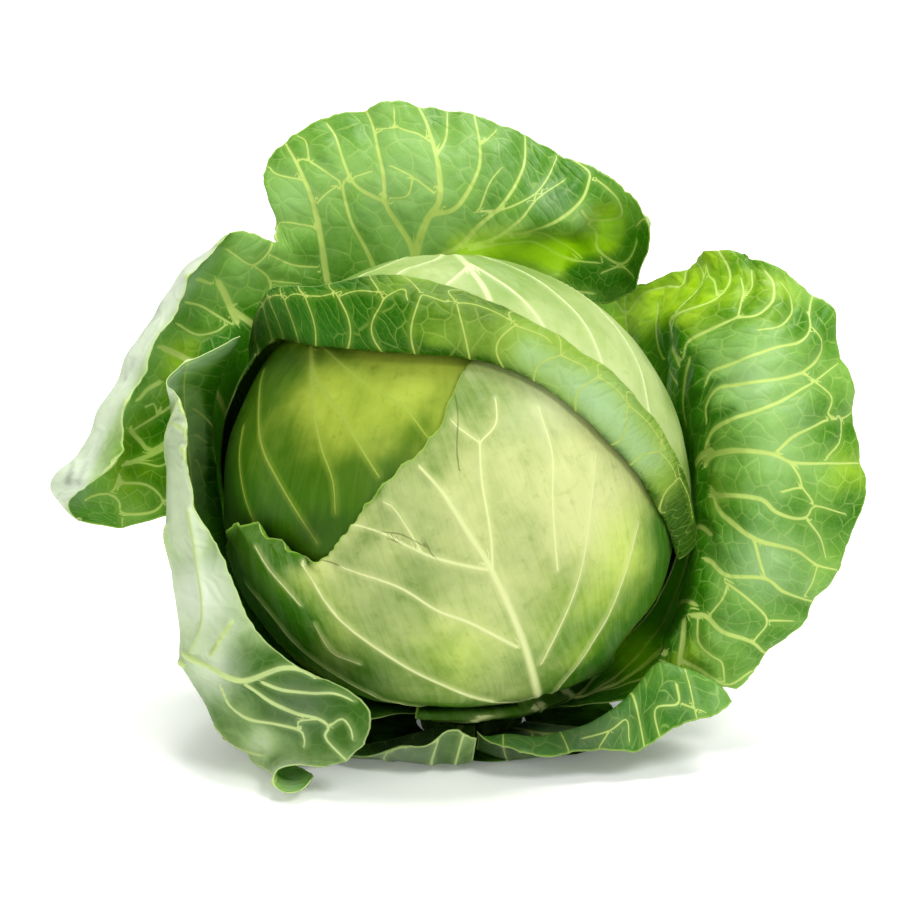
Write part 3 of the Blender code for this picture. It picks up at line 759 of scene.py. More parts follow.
FRONT_RIBS = [
    (256, [(-29, -77), (-58, -58), (-75, -40), (-83, -18)], 1.0),
    (265, [(-15, -79), (-45, -60), (-67, -36), (-80, -9)], 4.0),
    (274, [(-1, -76), (-30, -58), (-52, -34), (-67, -12)], 5.0),
    (283, [(11, -73), (-12, -58), (-34, -39), (-53, -22)], 1.0),
    (291, [(18, -67), (-2, -48), (-20, -28), (-39, -11)], 0.5),
    (299, [(23, -61), (8, -38), (-8, -12), (-21, 11)], 0.5),
    (307, [(27, -58), (17, -32), (6, -2), (-5, 28)], 0.5),
    (315, [(31, -56), (25, -24), (16, 14), (8, 52)], 0.0),
    (325, [(38, -54), (40, -18), (39, 19), (34, 54)], 0.0),
    (335, [(47, -55), (57, -24), (63, 6), (64, 36)], 0.0),
    (345, [(56, -57), (70, -36), (78, -13), (80, 10)], 0.0),
    (354, [(62, -57), (76, -38), (82, -22), (84, -6)], 0.0),
]
FRONT_LIFT = 2.0
WRAPPER_ROOT = 12.4
front_net = []
for azimuth, places, margin_lift in FRONT_RIBS:
    rib = [at_stem(azimuth, WRAPPER_ROOT), around(azimuth, elevation=-52, radius=88.0)]
    rib += [on_head(*place, FRONT_LIFT) for place in places[:-1]]
    front_net.append(rib + [on_head(*places[-1], FRONT_LIFT + margin_lift)])
front = Blade(front_net, columns=240, rows=170, lift=FRONT_LIFT, hug=4)
front.fray(depth=3.4, length=5, seed=5)
curl = np.clip((front.point - 4.2) / 0.8, 0, 1) ** 1.5 * np.exp(-(((front.rib - 1.6) / 1.8) ** 2))
front.lift_by(MM * curl * (2.0 + 1.8 * np.sin(2 * math.pi * 1.7 * front.rib)))
front.veins(
    drawn=[
        ([(35, -84), (28, -56), (16, -28), (6, -12), (-3, 2), (-11, 11)], 1.7, 0.5),
        ([(25, -56), (8, -47), (-5, -42), (-20, -33), (-41, -26)], 0.9, 0.4),
        ([(32, -80), (4, -73), (-20, -61), (-41, -45), (-55, -25)], 1.1, 0.5),
        ([(14, -27), (4, -25), (-10, -21), (-26, -13), (-38, -10)], 0.8, 0.4),
        ([(-10, -21), (-20, -5), (-24, -2)], 0.4, 0.2),
        ([(16, -28), (15, -14), (12, 5), (11, 20)], 0.7, 0.4),
        ([(11, 20), (17, 27), (17, 36)], 0.4, 0.25),
        ([(11, 20), (4, 25), (1, 28)], 0.4, 0.25),
        ([(40, -27), (38, -2), (38, 16), (33, 33)], 0.45, 0.25),
        ([(38, -74), (52, -56), (63, -34), (70, -10)], 0.35, 0.15),
        ([(34, -62), (46, -36), (52, -8), (54, 16)], 0.35, 0.15),
        ([(32, -76), (6, -84), (-24, -76), (-54, -58), (-76, -32)], 0.8, 0.4),
        ([(-56, -40), (-66, -28), (-72, -19)], 0.5, 0.3),
        ([(-34, -62), (-44, -58), (-50, -48)], 0.4, 0.2),
    ],
    grown=[
        ([(8.4, 0), (8.3, 0.6), (8.2, 1.1)], 2.2, 1.8),
    ],
)
front.scars(
    [
        [(2, 38), (3, 30), (2.6, 18), (3.4, 10)],
        [(-54, -23), (-47, -24), (-41, -26)],
        [(-24, -13), (-18, -14), (-10, -18), (-6, -22)],
        [(-9, -17), (-7, -21)],
        [(-22, -16), (-20, -17)],
    ]
)
crinkled = soft_spots(front.grid, [(-24, -14, 22, 0.30), (6, 26, 14, 0.22), (-50, -50, 16, 0.2)])
front.lift_by(MM * crinkled * waves(front.grid, length=6 * MM, count=16, seed=19))
between_ribs = 1 - np.exp(-front.near / 4)
dimples = waves(front.grid, length=24 * MM, count=14, seed=8)
front.lift_by(MM * (0.3 * between_ribs + 0.3 * dimples - 0.2))
front.piece(
    "front_wrapper",
    "head_leaf_front",
    [
        leaf_finish(
            "wrapper_inside",
            dark=(0.16, 0.30, 0.03),
            light=(0.46, 0.58, 0.14),
            vein=(0.66, 0.74, 0.32),
            rim=(0.6, 0.68, 0.3),
            roughness=0.4,
            through=0.25,
            glow=(0.5, 0.62, 0.10),
            net_size=8,
            net_depth=-0.4,
            bloom=0.1,
            netting=0.3,
            mottling=0.2,
        ),
        leaf_finish(
            "wrapper_outside",
            dark=(0.055, 0.16, 0.003),
            light=(0.53, 0.57, 0.24),
            vein=(0.61, 0.66, 0.32),
            rim=(0.26, 0.42, 0.06),
            roughness=0.36,
            through=0.1,
            glow=(0.6, 0.68, 0.10),
            net_size=10,
            net_depth=0.12,
            bloom=0.1,
            netting=0.04,
            crisp=0.25,
            mottling=0.2,
            uneven=0.48,
            wax=(0.62, 0.67, 0.40),
            fresh_and_painted_glow=((0.03, 0.14, 0.001), (0.50, 0.66, 0.05)),
            halo_share=0.4,
            streaks=0.09,
        ),
    ],
    thick=0.9,
    rib_height=0.85,
    # The tone: the leaf's own paler middle and darker green lower left, darker strokes along the curl of the
    # left margin, and painted shade along the right edge and the foot, where the leaf meets the crevices.
    tone_and_painted_light=[
        (46, 6, 26, 0.35),
        (12, 2, 18, 0.1),
        (10, -30, 20, 0.15),
        (58, -14, 22, 0.15),
        (34, -60, 14, -0.2),
        (-12, -10, 20, 0.1),
        (-30, -14, 5, -0.25),
        (-40, -22, 5, -0.2),
        (-6, 8, 6, -0.2),
        (8, 40, 9, -0.1),
        ([(-30, 8), (-14, 20), (2, 44)], 5, -0.1),
        (-50, -26, 9, 0.2),
        (36, -56, 12, 0.1),
        (-64, -50, 16, -0.8),
        (-80, -20, 12, -0.8),
        (-66, -20, 8, -0.5),
        (-34, -68, 13, -0.4),
        ([(-40, -84), (-5, -87), (24, -86)], 8, -0.9),
        ([(88, -2), (86, -30), (76, -52), (58, -72), (44, -82)], 10, -1.2),
        ([(-28, 3), (-40, -8), (-54, -22)], 2.5, -0.5),
        ([(-54, -22), (-64, -14), (-74, -10), (-82, -16)], 4, -0.5),
    ],
    hue_with_painted_glow_and_sheen=[
        (76, -18, 22, 0.6),
        (54, -52, 22, 0.8),
        (-62, -46, 26, 0.7),
        (0, -62, 20, 0.5),
        (38, 36, 18, -0.5),
        (40, 0, 14, -0.2),
        (-30, -30, 16, -0.2),
    ],
)

# The cap leaf: it comes up the back of the head and over its top. Its rim is folded back on itself as a
# darker band, which shows the leaf's upper face with its cross veins; shade is painted into the band's left
# end and along the fold under it.
CAP_RIBS = [
    (163, (165, 0), (169, 19), (-76, 50, 3), (-75.5, 54, 4), (-76, 58, 4)),
    (159, (161, 18), (168, 36), (-66, 60, 22), (-69, 69, 23), (-70, 75, 14)),
    (155, (154, 38), (180, 50), (-58, 59, 41), (-62, 71, 41), (-63, 79, 29)),
    (148, (142, 58), (200, 62), (-43, 57, 58), (-45, 71, 59), (-48, 80, 46)),
    (132, (125, 72), (227, 70), (-19, 55.5, 72), (-21, 71, 71), (-24, 84, 53)),
    (108, (90, 81), (282, 68), (7.5, 53, 76), (7, 66, 76), (8, 77, 63)),
    (80, (45, 72), (314, 51), (34, 43.5, 75), (38, 53, 75), (43, 60, 67)),
    (54, (30, 50), (327, 35), (57, 25, 70), (62, 34, 70), (68, 41, 60)),
    (30, (14, 25), (337, 17), (75, 3, 54), (81, 10, 53), (85, 17, 43)),
    (8, (0, -8), (348, -6), (86, -24, 22), (91, -20, 23), (93, -14, 18)),
]


def great_circle(start, end, share):
    """The point a share of the way round the head's centre from start to end."""
    a, b = start - HEAD_CENTRE, end - HEAD_CENTRE
    near, far = np.linalg.norm(a), np.linalg.norm(b)
    angle = math.acos(float(a @ b) / near / far)
    way = (math.sin((1 - share) * angle) * a / near + math.sin(share * angle) * b / far) / math.sin(angle)
    return HEAD_CENTRE + way * (near + (far - near) * share)


CAP_LIFT = 4.0
CAP_RADIUS = 89.8
cap_net = []
for azimuth, top_place, below, fold, band, margin in CAP_RIBS:
    clasped = ((azimuth, -50), top_place, below)
    low, crown, under = (around(*place, CAP_RADIUS) for place in clasped)
    back, over = great_circle(low, crown, 0.5), great_circle(crown, under, 0.5)
    rib = [at_stem(azimuth, WRAPPER_ROOT), low, back, crown, over, under]
    cap_net.append(rib + [seen(*fold), seen(*band), seen(*margin)])
cap = Blade(cap_net, columns=200, rows=190, lift=CAP_LIFT, hug=5)
cap.fray(depth=4.5, length=15, seed=6, start=0.82)
CROSS_STEP = 0.56
cross_draw = np.random.default_rng(14)
cross_veins = []
for rib in np.arange(0.4, 8.8, CROSS_STEP):
    a, b, c, d = cross_draw.uniform(-0.14, 0.14, 4)
    fork = 7.25 + c
    trunk = [(rib + a, 5.7), (rib + b, 6.5), (rib + d, fork)]
    tip = [(rib + d, fork), (rib + d - 0.1, 7.7), (rib - 0.06 + a, 8)]
    cross_veins.append((trunk, 0.42, 0.32))
    cross_veins.append((tip, 0.35, 0.25))
    link = [(rib + d, fork), (rib + d + 0.3, 7.4 + a), (rib + CROSS_STEP + b, 7.3 + c)]
    cross_veins.append((link, 0.35, 0.3))
cap.veins(
    drawn=[],
    grown=[
        ([(5.2, 0), (5.2, 2), (5.2, 4), (5.3, 5.6)], 2.4, 0.9),
        ([(5.2, 1.0), (6.6, 3), (7.6, 5), (8.2, 5.8)], 1.2, 0.5),
        ([(5.2, 2.2), (6.3, 4), (7.0, 5.7)], 1.1, 0.5),
        ([(5.2, 3.4), (5.9, 5), (6.2, 5.8)], 0.9, 0.5),
        ([(5.2, 1.2), (4.0, 3), (2.8, 5), (2.4, 5.7)], 1.2, 0.5),
        ([(5.2, 2.4), (4.2, 4), (3.6, 5.7)], 1.1, 0.5),
        ([(5.2, 3.6), (4.6, 5), (4.4, 5.7)], 0.9, 0.5),
        ([(5.2, 0.4), (3.0, 2), (1.6, 4), (1.2, 5.7)], 1.0, 0.5),
        *cross_veins,
    ],
)
between_ribs = 1 - np.exp(-cap.near / 4)
dimples = waves(cap.grid, length=26 * MM, count=14, seed=9)
cap.lift_by(MM * (0.35 * between_ribs + 0.2 * dimples - 0.25))
cap_inside = leaf_finish(
    "cap_inside",
    dark=(0.03, 0.10, 0.0005),
    light=(0.24, 0.38, 0.05),
    vein=(0.40, 0.50, 0.12),
    rim=(0.40, 0.52, 0.16),
    roughness=0.5,
    through=0.2,
    glow=(0.2, 0.42, 0.01),
    net_size=8,
    net_depth=-0.6,
    bloom=0.04,
    netting=0.3,
    uneven=0.7,
)
cap_outside = leaf_finish(
    "cap_outside",
    dark=(0.25, 0.38, 0.09),
    light=(0.52, 0.61, 0.26),
    vein=(0.62, 0.71, 0.36),
    rim=(0.5, 0.58, 0.24),
    roughness=0.38,
    through=0.15,
    glow=(0.5, 0.64, 0.08),
    net_size=10,
    net_depth=0.15,
    bloom=0.3,
    netting=0.04,
    crisp=0.3,
    uneven=0.5,
    wax=(0.60, 0.68, 0.42),
    streaks=0.06,
)
cap.piece(
    "cap_wrapper", "head_leaf_cap", [cap_inside, cap_outside], thick=0.9, rib_height=0.5,
    # The tone: painted shade at the band's left end, down the cap's left side, along the fold under the band
    # and at the band's right end; the paler stripe over the crown and the other spots are the leaf's own
    # lighter and darker parts.
    tone_and_painted_light=[
        (-68, 62, 18, -1.3),
        ([(30, 54), (50, 40), (72, 18)], 8, 0.45),
        ([(-80, 60), (-86, 40), (-89, 14), (-88, -16)], 6, -1.5),
        (-36, 66, 20, -0.4),
        ([(-60, 57), (-20, 54), (20, 48), (50, 28), (72, 4), (84, -20)], 3, -0.6),
        (18, 88, 10, -0.3),
        (30, 58, 16, 0.15),
        (60, 40, 14, 0.2),
        (78, 12, 10, 0.25),
        (88, -12, 9, -0.7),
        (94, 10, 8, -0.8),
        (20, 84, 12, -0.5),
    ],
    hue_with_painted_glow_and_sheen=[
        (-60, 66, 30, 1.0),
        (-16, 66, 20, 0.35),
        ([(30, 54), (50, 40), (74, 14)], 8, -0.5),
        (62, 40, 16, -0.2),
        (50, 66, 16, 0.2),
    ],
)

# The right outer leaf: a cup round the head's right side whose brim rolls outward, so that the viewer looks
# down on its upper face. It is grey-green with wax, and its pale veins meet in loops near the margin.
RIGHT_RIBS = [
    (58, (52, 52, -82), (55, 62, -83), (57, 69, -82), (58, 75, -79)),
    (47, (71, 55, -56), (73, 66, -58), (75, 74, -60), (76, 80, -62)),
    (34, (83, 64, -34), (90, 71, -28), (103, 81, -30), (100, 92, -42)),
    (23, (87, 56, -16), (107, 67, -3), (121, 75, -9), (119, 86, -26)),
    (12, (95, 41, 2), (115, 54, 14), (132, 59, 4), (140, 73, -14)),
    (4, (96, 25, 8), (112, 32, 22), (132, 39, 16), (147, 52, -6)),
    (-3, (97, 14, 10), (116, 16, 25), (137, 14, 18), (154, 18, -2)),
    (-9, (98, -3, 12), (113, -12, 25), (131, -20, 20), (150, -18, 4)),
    (-14, (97, -23, 14), (111, -30, 24), (127, -36, 20), (140, -37, 8)),
    (-19, (91, -45, 14), (104, -49, 21), (115, -53, 19), (126, -54, 12)),
    (-26, (86, -65, 11), (92.5, -69, 13.5), (99, -72, 14), (107, -73.5, 12)),
]


def loose_net(root_height, clasp, ribs):
    """A leaf that leaves the stem, clasps the head at the stated (elevation, radius), and then opens
    through the points that the viewer sees. Each rib is its azimuth and those points."""
    net = []
    for azimuth, *places in ribs:
        low, first = around(azimuth, *clasp), seen(*places[0])
        rib = [at_stem(azimuth, root_height), low, great_circle(low, first, 0.5)]
        net.append(rib + [seen(*place) for place in places])
    return net


right_net = loose_net(root_height=7.4, clasp=(-48, 99), ribs=RIGHT_RIBS)
right = Blade(right_net, columns=230, rows=140, lift=7.4, hug=0)
right.ruffle(height=1.6, count=9, start=0.62)
right.fray(depth=2.8, length=5, seed=11)
right.nick_sides(depths=(0.0, 2.0), length=4, seed=12)
right.nudge(-VIEW_RIGHT, [(56, 68, 8, 6)])
right.nudge(VIEW_UP, [(62, 76, 8, 2.5)])
right.veins(
    drawn=[
        (
            [
                (95.7, 11.7), (98, 15), (105, 16.7), (112, 16.7),
                (121, 15.6), (128, 12.5), (137, 12), (153, 12),
            ],
            1.4,
            0.4,
        ),
        ([(122, 16), (129, 22), (141, 28), (148, 29), (151, 32)], 0.7, 0.3),
        ([(128, 12), (131, 7), (132, 3), (135, -1)], 0.6, 0.3),
        ([(96, 19), (99, 25), (107, 29), (116, 32), (125, 36), (132, 40), (137, 43), (145, 49)], 1.1, 0.3),
        ([(132, 46), (137, 43), (143, 37), (142, 30), (147, 29), (146, 20), (141, 14)], 0.5, 0.4),
        ([(96, 28), (96, 34), (100, 40), (107, 41.6), (118, 43), (125, 44), (132, 46)], 0.9, 0.6),
        ([(132, 46), (138, 51), (139, 58), (135, 64), (135, 71), (136, 75)], 0.5, 0.3),
        (
            [(96, 42), (98, 46), (102, 48), (110, 51), (120, 55), (129, 57), (134, 60), (135, 65), (134, 69)],
            1.0,
            0.3,
        ),
        ([(87.6, 52), (89, 57), (95, 61), (106, 66), (115, 68), (121, 73), (121, 80), (118, 84)], 1.1, 0.4),
        ([(108, 67), (109, 72), (110, 76), (109, 81)], 0.5, 0.3),
        ([(116, 62), (123, 63), (128, 68), (128, 74), (124, 80)], 0.5, 0.3),
        ([(110, 73), (113, 78), (113, 84)], 0.4, 0.3),
        (
            [(86, 49), (83, 57), (82, 64), (85, 68), (95, 71), (101, 75), (105, 80), (104, 86), (100, 92)],
            1.2,
            0.4,
        ),
        ([(100, 75), (99, 80), (97, 82), (96, 86)], 0.5, 0.3),
        ([(82, 78), (87, 78), (88, 85)], 0.6, 0.4),
        ([(85, 42), (79, 53), (77, 62), (78, 71)], 0.8, 0.4),
        ([(62, 72), (66, 68), (72, 75), (81, 78)], 0.5, 0.3),
        ([(98, 0), (107, 0), (117, -1.5), (122, -6), (129, -8.6), (134, -8), (137, -4), (148, -7)], 1.1, 0.3),
        ([(134, -9), (139, -16), (141, -23)], 0.5, 0.3),
        ([(125, 1.5), (132, 2.6), (137, -4)], 0.5, 0.4),
        ([(98, 2), (102, -7), (114, -16), (124, -19), (131, -21), (138, -26), (145, -28)], 1.2, 0.3),
        ([(114, -16), (116, -24), (118, -30)], 0.6, 0.5),
        ([(96, -24), (98, -25), (104, -30), (118, -31), (125, -36), (133, -39), (137, -40)], 1.1, 0.3),
        ([(104, -33), (112, -39), (119, -47), (114, -55)], 0.6, 0.4),
        ([(104, -34), (102, -39), (97, -45)], 0.5, 0.4),
        ([(119, -47), (128, -47)], 0.5, 0.3),
        ([(133, -38), (136, -33), (138, -27)], 0.5, 0.3),
        ([(91, -45), (96, -45.3), (102, -51), (113, -55), (118, -59), (122, -59)], 1.2, 0.4),
        ([(87, -62), (93, -65), (99, -69), (105, -71), (113, -66)], 0.9, 0.4),
        ([(93, -46), (93, -55), (98, -60), (102, -63), (103, -70)], 0.5, 0.3),
        ([(88, -47), (86, -63)], 1.2, 1.0),
        ([(80.6, -59), (79.5, -66), (75, -74)], 1.4, 1.0),
    ],
    grown=[
        ([(5.5, 0), (5.5, 1.4), (5.6, 2.6), (5.8, 3.1)], 2.6, 1.4),
        ([(5.5, 1.0), (4.2, 2.2), (3.4, 3.0)], 1.4, 1.0),
        ([(5.5, 0.5), (3.0, 1.8), (2.0, 3.2), (1.6, 6)], 1.2, 0.3),
        ([(5.5, 0.3), (2.0, 1.4), (0.8, 3), (0.5, 6)], 1.0, 0.3),
        ([(5.5, 1.1), (6.8, 2.2), (7.6, 3.0)], 1.4, 1.0),
        ([(5.5, 0.6), (8.0, 1.8), (8.8, 3.0)], 1.2, 0.9),
    ],
)
right.pillow(crease=0.9, swell=1.6, reach=7)
right.lift_by(MM * (0.35 * waves(right.grid, length=16 * MM, count=18, seed=12) + 0.8))
outer_inside = leaf_finish(
    "outer_upper_face",
    dark=(0.035, 0.17, 0.002),
    light=(0.26, 0.45, 0.10),
    vein=(0.57, 0.70, 0.21),
    rim=(0.42, 0.58, 0.14),
    roughness=0.36,
    through=0.28,
    glow=(0.30, 0.70, 0.005),
    net_size=8.5,
    net_depth=-0.35,
    bloom=0.3,
    netting=0.34,
    uneven=0.8,
    wax=(0.42, 0.56, 0.34),
    fresh_and_painted_glow=((0.03, 0.17, 0.001), (0.62, 0.80, 0.01)),
)
outer_outside = leaf_finish(
    "outer_underside",
    dark=(0.05, 0.14, 0.01),
    light=(0.44, 0.58, 0.26),
    vein=(0.58, 0.70, 0.30),
    rim=(0.56, 0.68, 0.28),
    roughness=0.44,
    through=0.26,
    glow=(0.36, 0.66, 0.02),
    net_size=8.5,
    net_depth=0.5,
    bloom=0.55,
    netting=0.10,
    uneven=0.8,
    wax=(0.72, 0.78, 0.64),
)
right.piece(
    "right_leaf", "outer_leaf_right", [outer_inside, outer_outside], thick=0.9, rib_height=1.1,
    # The tone: painted shade down the hollow left of the brim's fold, in the cup's wall near the head and in
    # two creases of the brim, with the leaf's own paler and darker patches elsewhere.
    tone_and_painted_light=[
        (114, 46, 14, 0.35),
        (126, 22, 16, 0.25),
        (120, -24, 16, 0.2),
        (106, 6, 9, -0.15),
        (148, 24, 10, -0.45),
        (148, -6, 10, -0.35),
        (136, 62, 10, -0.3),
        (76, 70, 9, 0.35),
        ([(84, 58), (90, 42), (92, 24), (92, 4), (90, -16), (89, -34), (82, -50)], 4.5, -1.1),
        ([(82, -14), (78, -40), (66, -62), (54, -74)], 11, -1.2),
        ([(94, 38), (98, 42), (104, 43)], 1.6, -0.5),
        ([(94, 24), (99, 29), (106, 32)], 1.6, -0.5),
    ],
    # The hue: a painted glow where light comes through the top of the cup's inner wall, and the leaf's own
    # yellower and waxier parts elsewhere.
    hue_with_painted_glow_and_sheen=[
        (100, 80, 16, 0.9),
        (76, 68, 16, 0.8),
        (120, 74, 12, 0.5),
        (112, 44, 15, -0.55),
        (124, 16, 15, -0.4),
        (118, -26, 18, -0.55),
        (150, 10, 14, 0.5),
        (94, 0, 10, 0.6),
        (70, -62, 24, 1.0),
    ],
)

# The back outer leaf, the largest. It wraps the head's left and back and stands above it. Its left rim is
# rolled in, so the silvery underside shows as a strip, and a tear parts its left from its top.
BACK_RIBS = [
    (172, (-99, -8, -24), (-113, -11, -15), (-129, -13, -7), (-139, -11, 0)),
    (169, (-98, 1, -25), (-120, -1, -14), (-150, 1, -3), (-141, -1, 8)),
    (166, (-98, 9, -26), (-117, 11, -16), (-144, 12, -4), (-127, 9, 14)),
    (162, (-96, 21, -28), (-112, 26, -20), (-132, 31, -9), (-120, 31, 8)),
    (157, (-94, 32, -30), (-107, 41, -24), (-123, 49, -15), (-112, 52, 0)),
    (151, (-86, 45, -34), (-97, 56, -30), (-110, 70, -23), (-101, 73, -10)),
    (144, (-78, 56, -40), (-88, 69, -36), (-95, 87, -31), (-87, 93, -23)),
    (138, (-70, 62, -44), (-80, 74, -40), (-85, 88, -35), (-79, 100, -36)),
    (129, (-56, 73, -48), (-60, 82, -44), (-63, 90, -42), (-64, 97, -41)),
    (121, (-46, 77, -50), (-53, 97, -44), (-62, 112, -46), (-70, 122, -54)),
    (112, (-32, 78, -53), (-38, 100, -44), (-46, 122, -45), (-53, 138, -58)),
    (104, (-18, 78, -55), (-22, 103, -43), (-26, 124, -43), (-32, 146, -58)),
    (97, (-9, 79, -56), (-6, 104, -41), (-4, 124, -42), (-9, 147, -56)),
    (91, (-2, 80, -56), (12, 102, -39), (22, 118, -40), (24, 137, -54)),
    (86, (6, 82, -55), (26, 97, -35), (43, 104, -32), (53, 123, -45)),
    (77, (19, 82, -58), (41, 90, -57), (60, 98, -54), (72, 110, -38)),
    (71, (33, 76, -62), (52, 82, -64), (66, 86, -58), (75, 93, -40)),
    (66, (41, 68, -66), (54, 73, -64), (63, 75, -59), (71, 78, -46)),
]
back_net = loose_net(root_height=4.6, clasp=(-49, 100), ribs=BACK_RIBS)
back_leaf = Blade(back_net, columns=380, rows=122, lift=9.5, hug=0)
back_leaf.ruffle(height=1.2, count=13, start=0.7)
back_leaf.fray(depth=3.0, length=6, seed=21)
back_leaf.nick_sides(depths=(3.0, 0.0), length=5, seed=22)
back_leaf.nudge(-VIEW_UP, [(60, 76, 9, 3)])
back_leaf.veins(
    drawn=[
        ([(-46, 79), (-48.5, 96), (-51.5, 110), (-57, 123), (-62, 132)], 1.5, 0.5),
        ([(-50, 109), (-46, 113), (-38, 118), (-30, 121)], 0.5, 0.3),
        ([(-58, 125), (-53, 125), (-41, 117)], 0.5, 0.4),
        ([(-53, 125), (-54, 132), (-57, 134)], 0.4, 0.3),
        ([(-56, 118), (-65, 120), (-68, 123)], 0.4, 0.3),
        ([(-50, 100), (-62, 102), (-65, 100)], 0.4, 0.3),
        ([(-28, 84), (-32, 93), (-37, 102), (-40, 113), (-40, 117), (-38, 118)], 0.9, 0.5),
        ([(-25, 110), (-33, 114), (-37, 118), (-40, 125), (-43, 134), (-46, 139)], 0.9, 0.4),
        (
            [(-13, 87), (-15, 94), (-20, 102), (-24, 109), (-25, 120), (-27, 129), (-29, 138), (-32, 145)],
            1.4,
            0.4,
        ),
        ([(-14, 85), (-11, 97), (-8, 104), (-4, 110), (-4, 120), (-6, 130), (-9, 139), (-12, 146)], 2.0, 0.5),
        ([(-5, 127), (-1.5, 134), (-1, 143)], 0.6, 0.3),
        ([(-7, 132), (-12, 135), (-20, 138), (-21, 144)], 0.6, 0.3),
        ([(-20, 137.6), (-28, 136.7)], 0.4, 0.3),
        ([(-6, 113), (-14, 119), (-22, 123)], 0.5, 0.3),
        ([(-14, 119), (-16, 112), (-23, 111)], 0.4, 0.3),
        ([(-7, 105), (1.5, 107), (7, 114), (11, 123), (11, 132), (9, 142)], 1.2, 0.4),
        ([(12, 131), (17, 136)], 0.4, 0.3),
        ([(-6, 89), (3.5, 93), (10, 100), (19, 108), (25, 117), (28, 125), (28, 134)], 1.2, 0.4),
        ([(11, 107), (15, 117), (19, 122)], 0.4, 0.3),
        ([(10, 106), (20, 107), (31, 112), (36, 118), (40, 126)], 0.5, 0.3),
        ([(6, 93), (17, 96), (26, 103), (33, 111), (43, 118)], 0.8, 0.3),
        ([(23, 97), (31, 98), (41, 103), (49, 110), (52, 117), (52, 121), (47, 125)], 0.9, 0.4),
        ([(7, 92), (25, 94), (34, 92), (43, 88), (56, 86.6)], 1.2, 0.4),
        ([(31, 97.5), (43, 93), (49, 89)], 0.6, 0.4),
        ([(50, 106), (53, 102), (59, 101), (64, 104), (64, 109), (60, 114), (55, 118)], 0.6, 0.4),
        ([(52, 101), (55, 97), (55, 92), (59, 88), (64, 86), (68, 90), (70, 95)], 0.6, 0.4),
        ([(70, 101), (72, 103), (74, 102)], 0.4, 0.3),
        ([(57, 83), (64, 85), (69, 81)], 0.4, 0.3),
        ([(-66, 97), (-68, 91), (-74, 86), (-81, 90), (-85, 93)], 0.5, 0.4),
        ([(-68, 90), (-59, 86), (-50, 85)], 0.5, 0.4),
        ([(-74, 86), (-68, 81), (-67, 74)], 0.5, 0.4),
        ([(-68, 80), (-57, 79)], 0.4, 0.3),
        ([(-95, 81), (-90, 79)], 0.9, 0.7),
        ([(-87, 79.5), (-84, 74), (-80, 65)], 1.6, 1.6),
        ([(-99, 72), (-93, 70.5), (-87, 67), (-82, 64)], 0.6, 0.5),
        ([(-102, 64), (-95, 60), (-88, 61), (-84, 63.5)], 0.5, 0.4),
        ([(-108, 55), (-103, 53), (-97, 50)], 1.4, 1.3),
        ([(-109, 42), (-114, 39), (-119, 33)], 1.0, 0.8),
        ([(-105, 33), (-109.5, 30), (-120, 23.5)], 0.7, 0.5),
        ([(-114, 33), (-111, 34), (-110, 30)], 0.4, 0.4),
        ([(-120, 24), (-116, 20), (-112.5, 16.5), (-106, 20)], 1.1, 0.9),
        ([(-127, 9), (-120, 12), (-112, 15), (-106, 18)], 1.2, 0.9),
        ([(-123, 12.6), (-115, 12), (-109, 10.6), (-105, 13)], 0.5, 0.4),
        ([(-124, 7), (-127, 1), (-133, 0), (-137, -2)], 0.6, 0.4),
        (
            [(-124, 4.4), (-115, 4), (-110, 1), (-108, -3), (-112, -6.5), (-123, -7), (-124, -3), (-127, 1)],
            0.6,
            0.5,
        ),
        ([(-123, -7), (-123, -11)], 0.4, 0.3),
        ([(-108, -3), (-104, -1)], 0.5, 0.4),
    ],
    grown=[
        ([(9.5, 0), (9.8, 1.2), (10.6, 2.2), (11.6, 3.0)], 3.0, 2.0),
        ([(9.4, 0.9), (7.6, 2), (6.9, 3), (6.6, 3.8)], 1.5, 1.4),
        ([(9.4, 0.6), (6.6, 1.6), (5.0, 2.6), (4.2, 3.6)], 1.4, 1.2),
        ([(9.4, 0.4), (5.6, 1.3), (3.4, 2.4), (2.2, 3.4)], 1.3, 1.0),
        ([(9.4, 0.2), (4.0, 1.0), (1.8, 2.2), (1.0, 3.4)], 1.1, 0.8),
        ([(9.8, 1.0), (9.2, 2.2), (9.1, 3.1)], 1.3, 1.1),
        ([(9.9, 1.1), (12.2, 2.0), (13.6, 3.0)], 1.4, 1.1),
        ([(9.7, 0.7), (13.0, 1.6), (15.0, 2.8)], 1.3, 1.0),
        ([(9.6, 0.4), (13.8, 1.2), (16.2, 2.6), (16.6, 4)], 1.1, 0.5),
    ],
)
sag = soft_spots(back_leaf.grid, [(57, 105, 5, 2.5), (62, 95, 6, 3.0), (34, 90, 12, 2.0), (66, 110, 4, -1.5)])
back_leaf.pillow(crease=0.8, swell=1.1, reach=7)
back_leaf.lift_by(MM * (sag + 0.35 * waves(back_leaf.grid, length=17 * MM, count=18, seed=22) + 0.6))
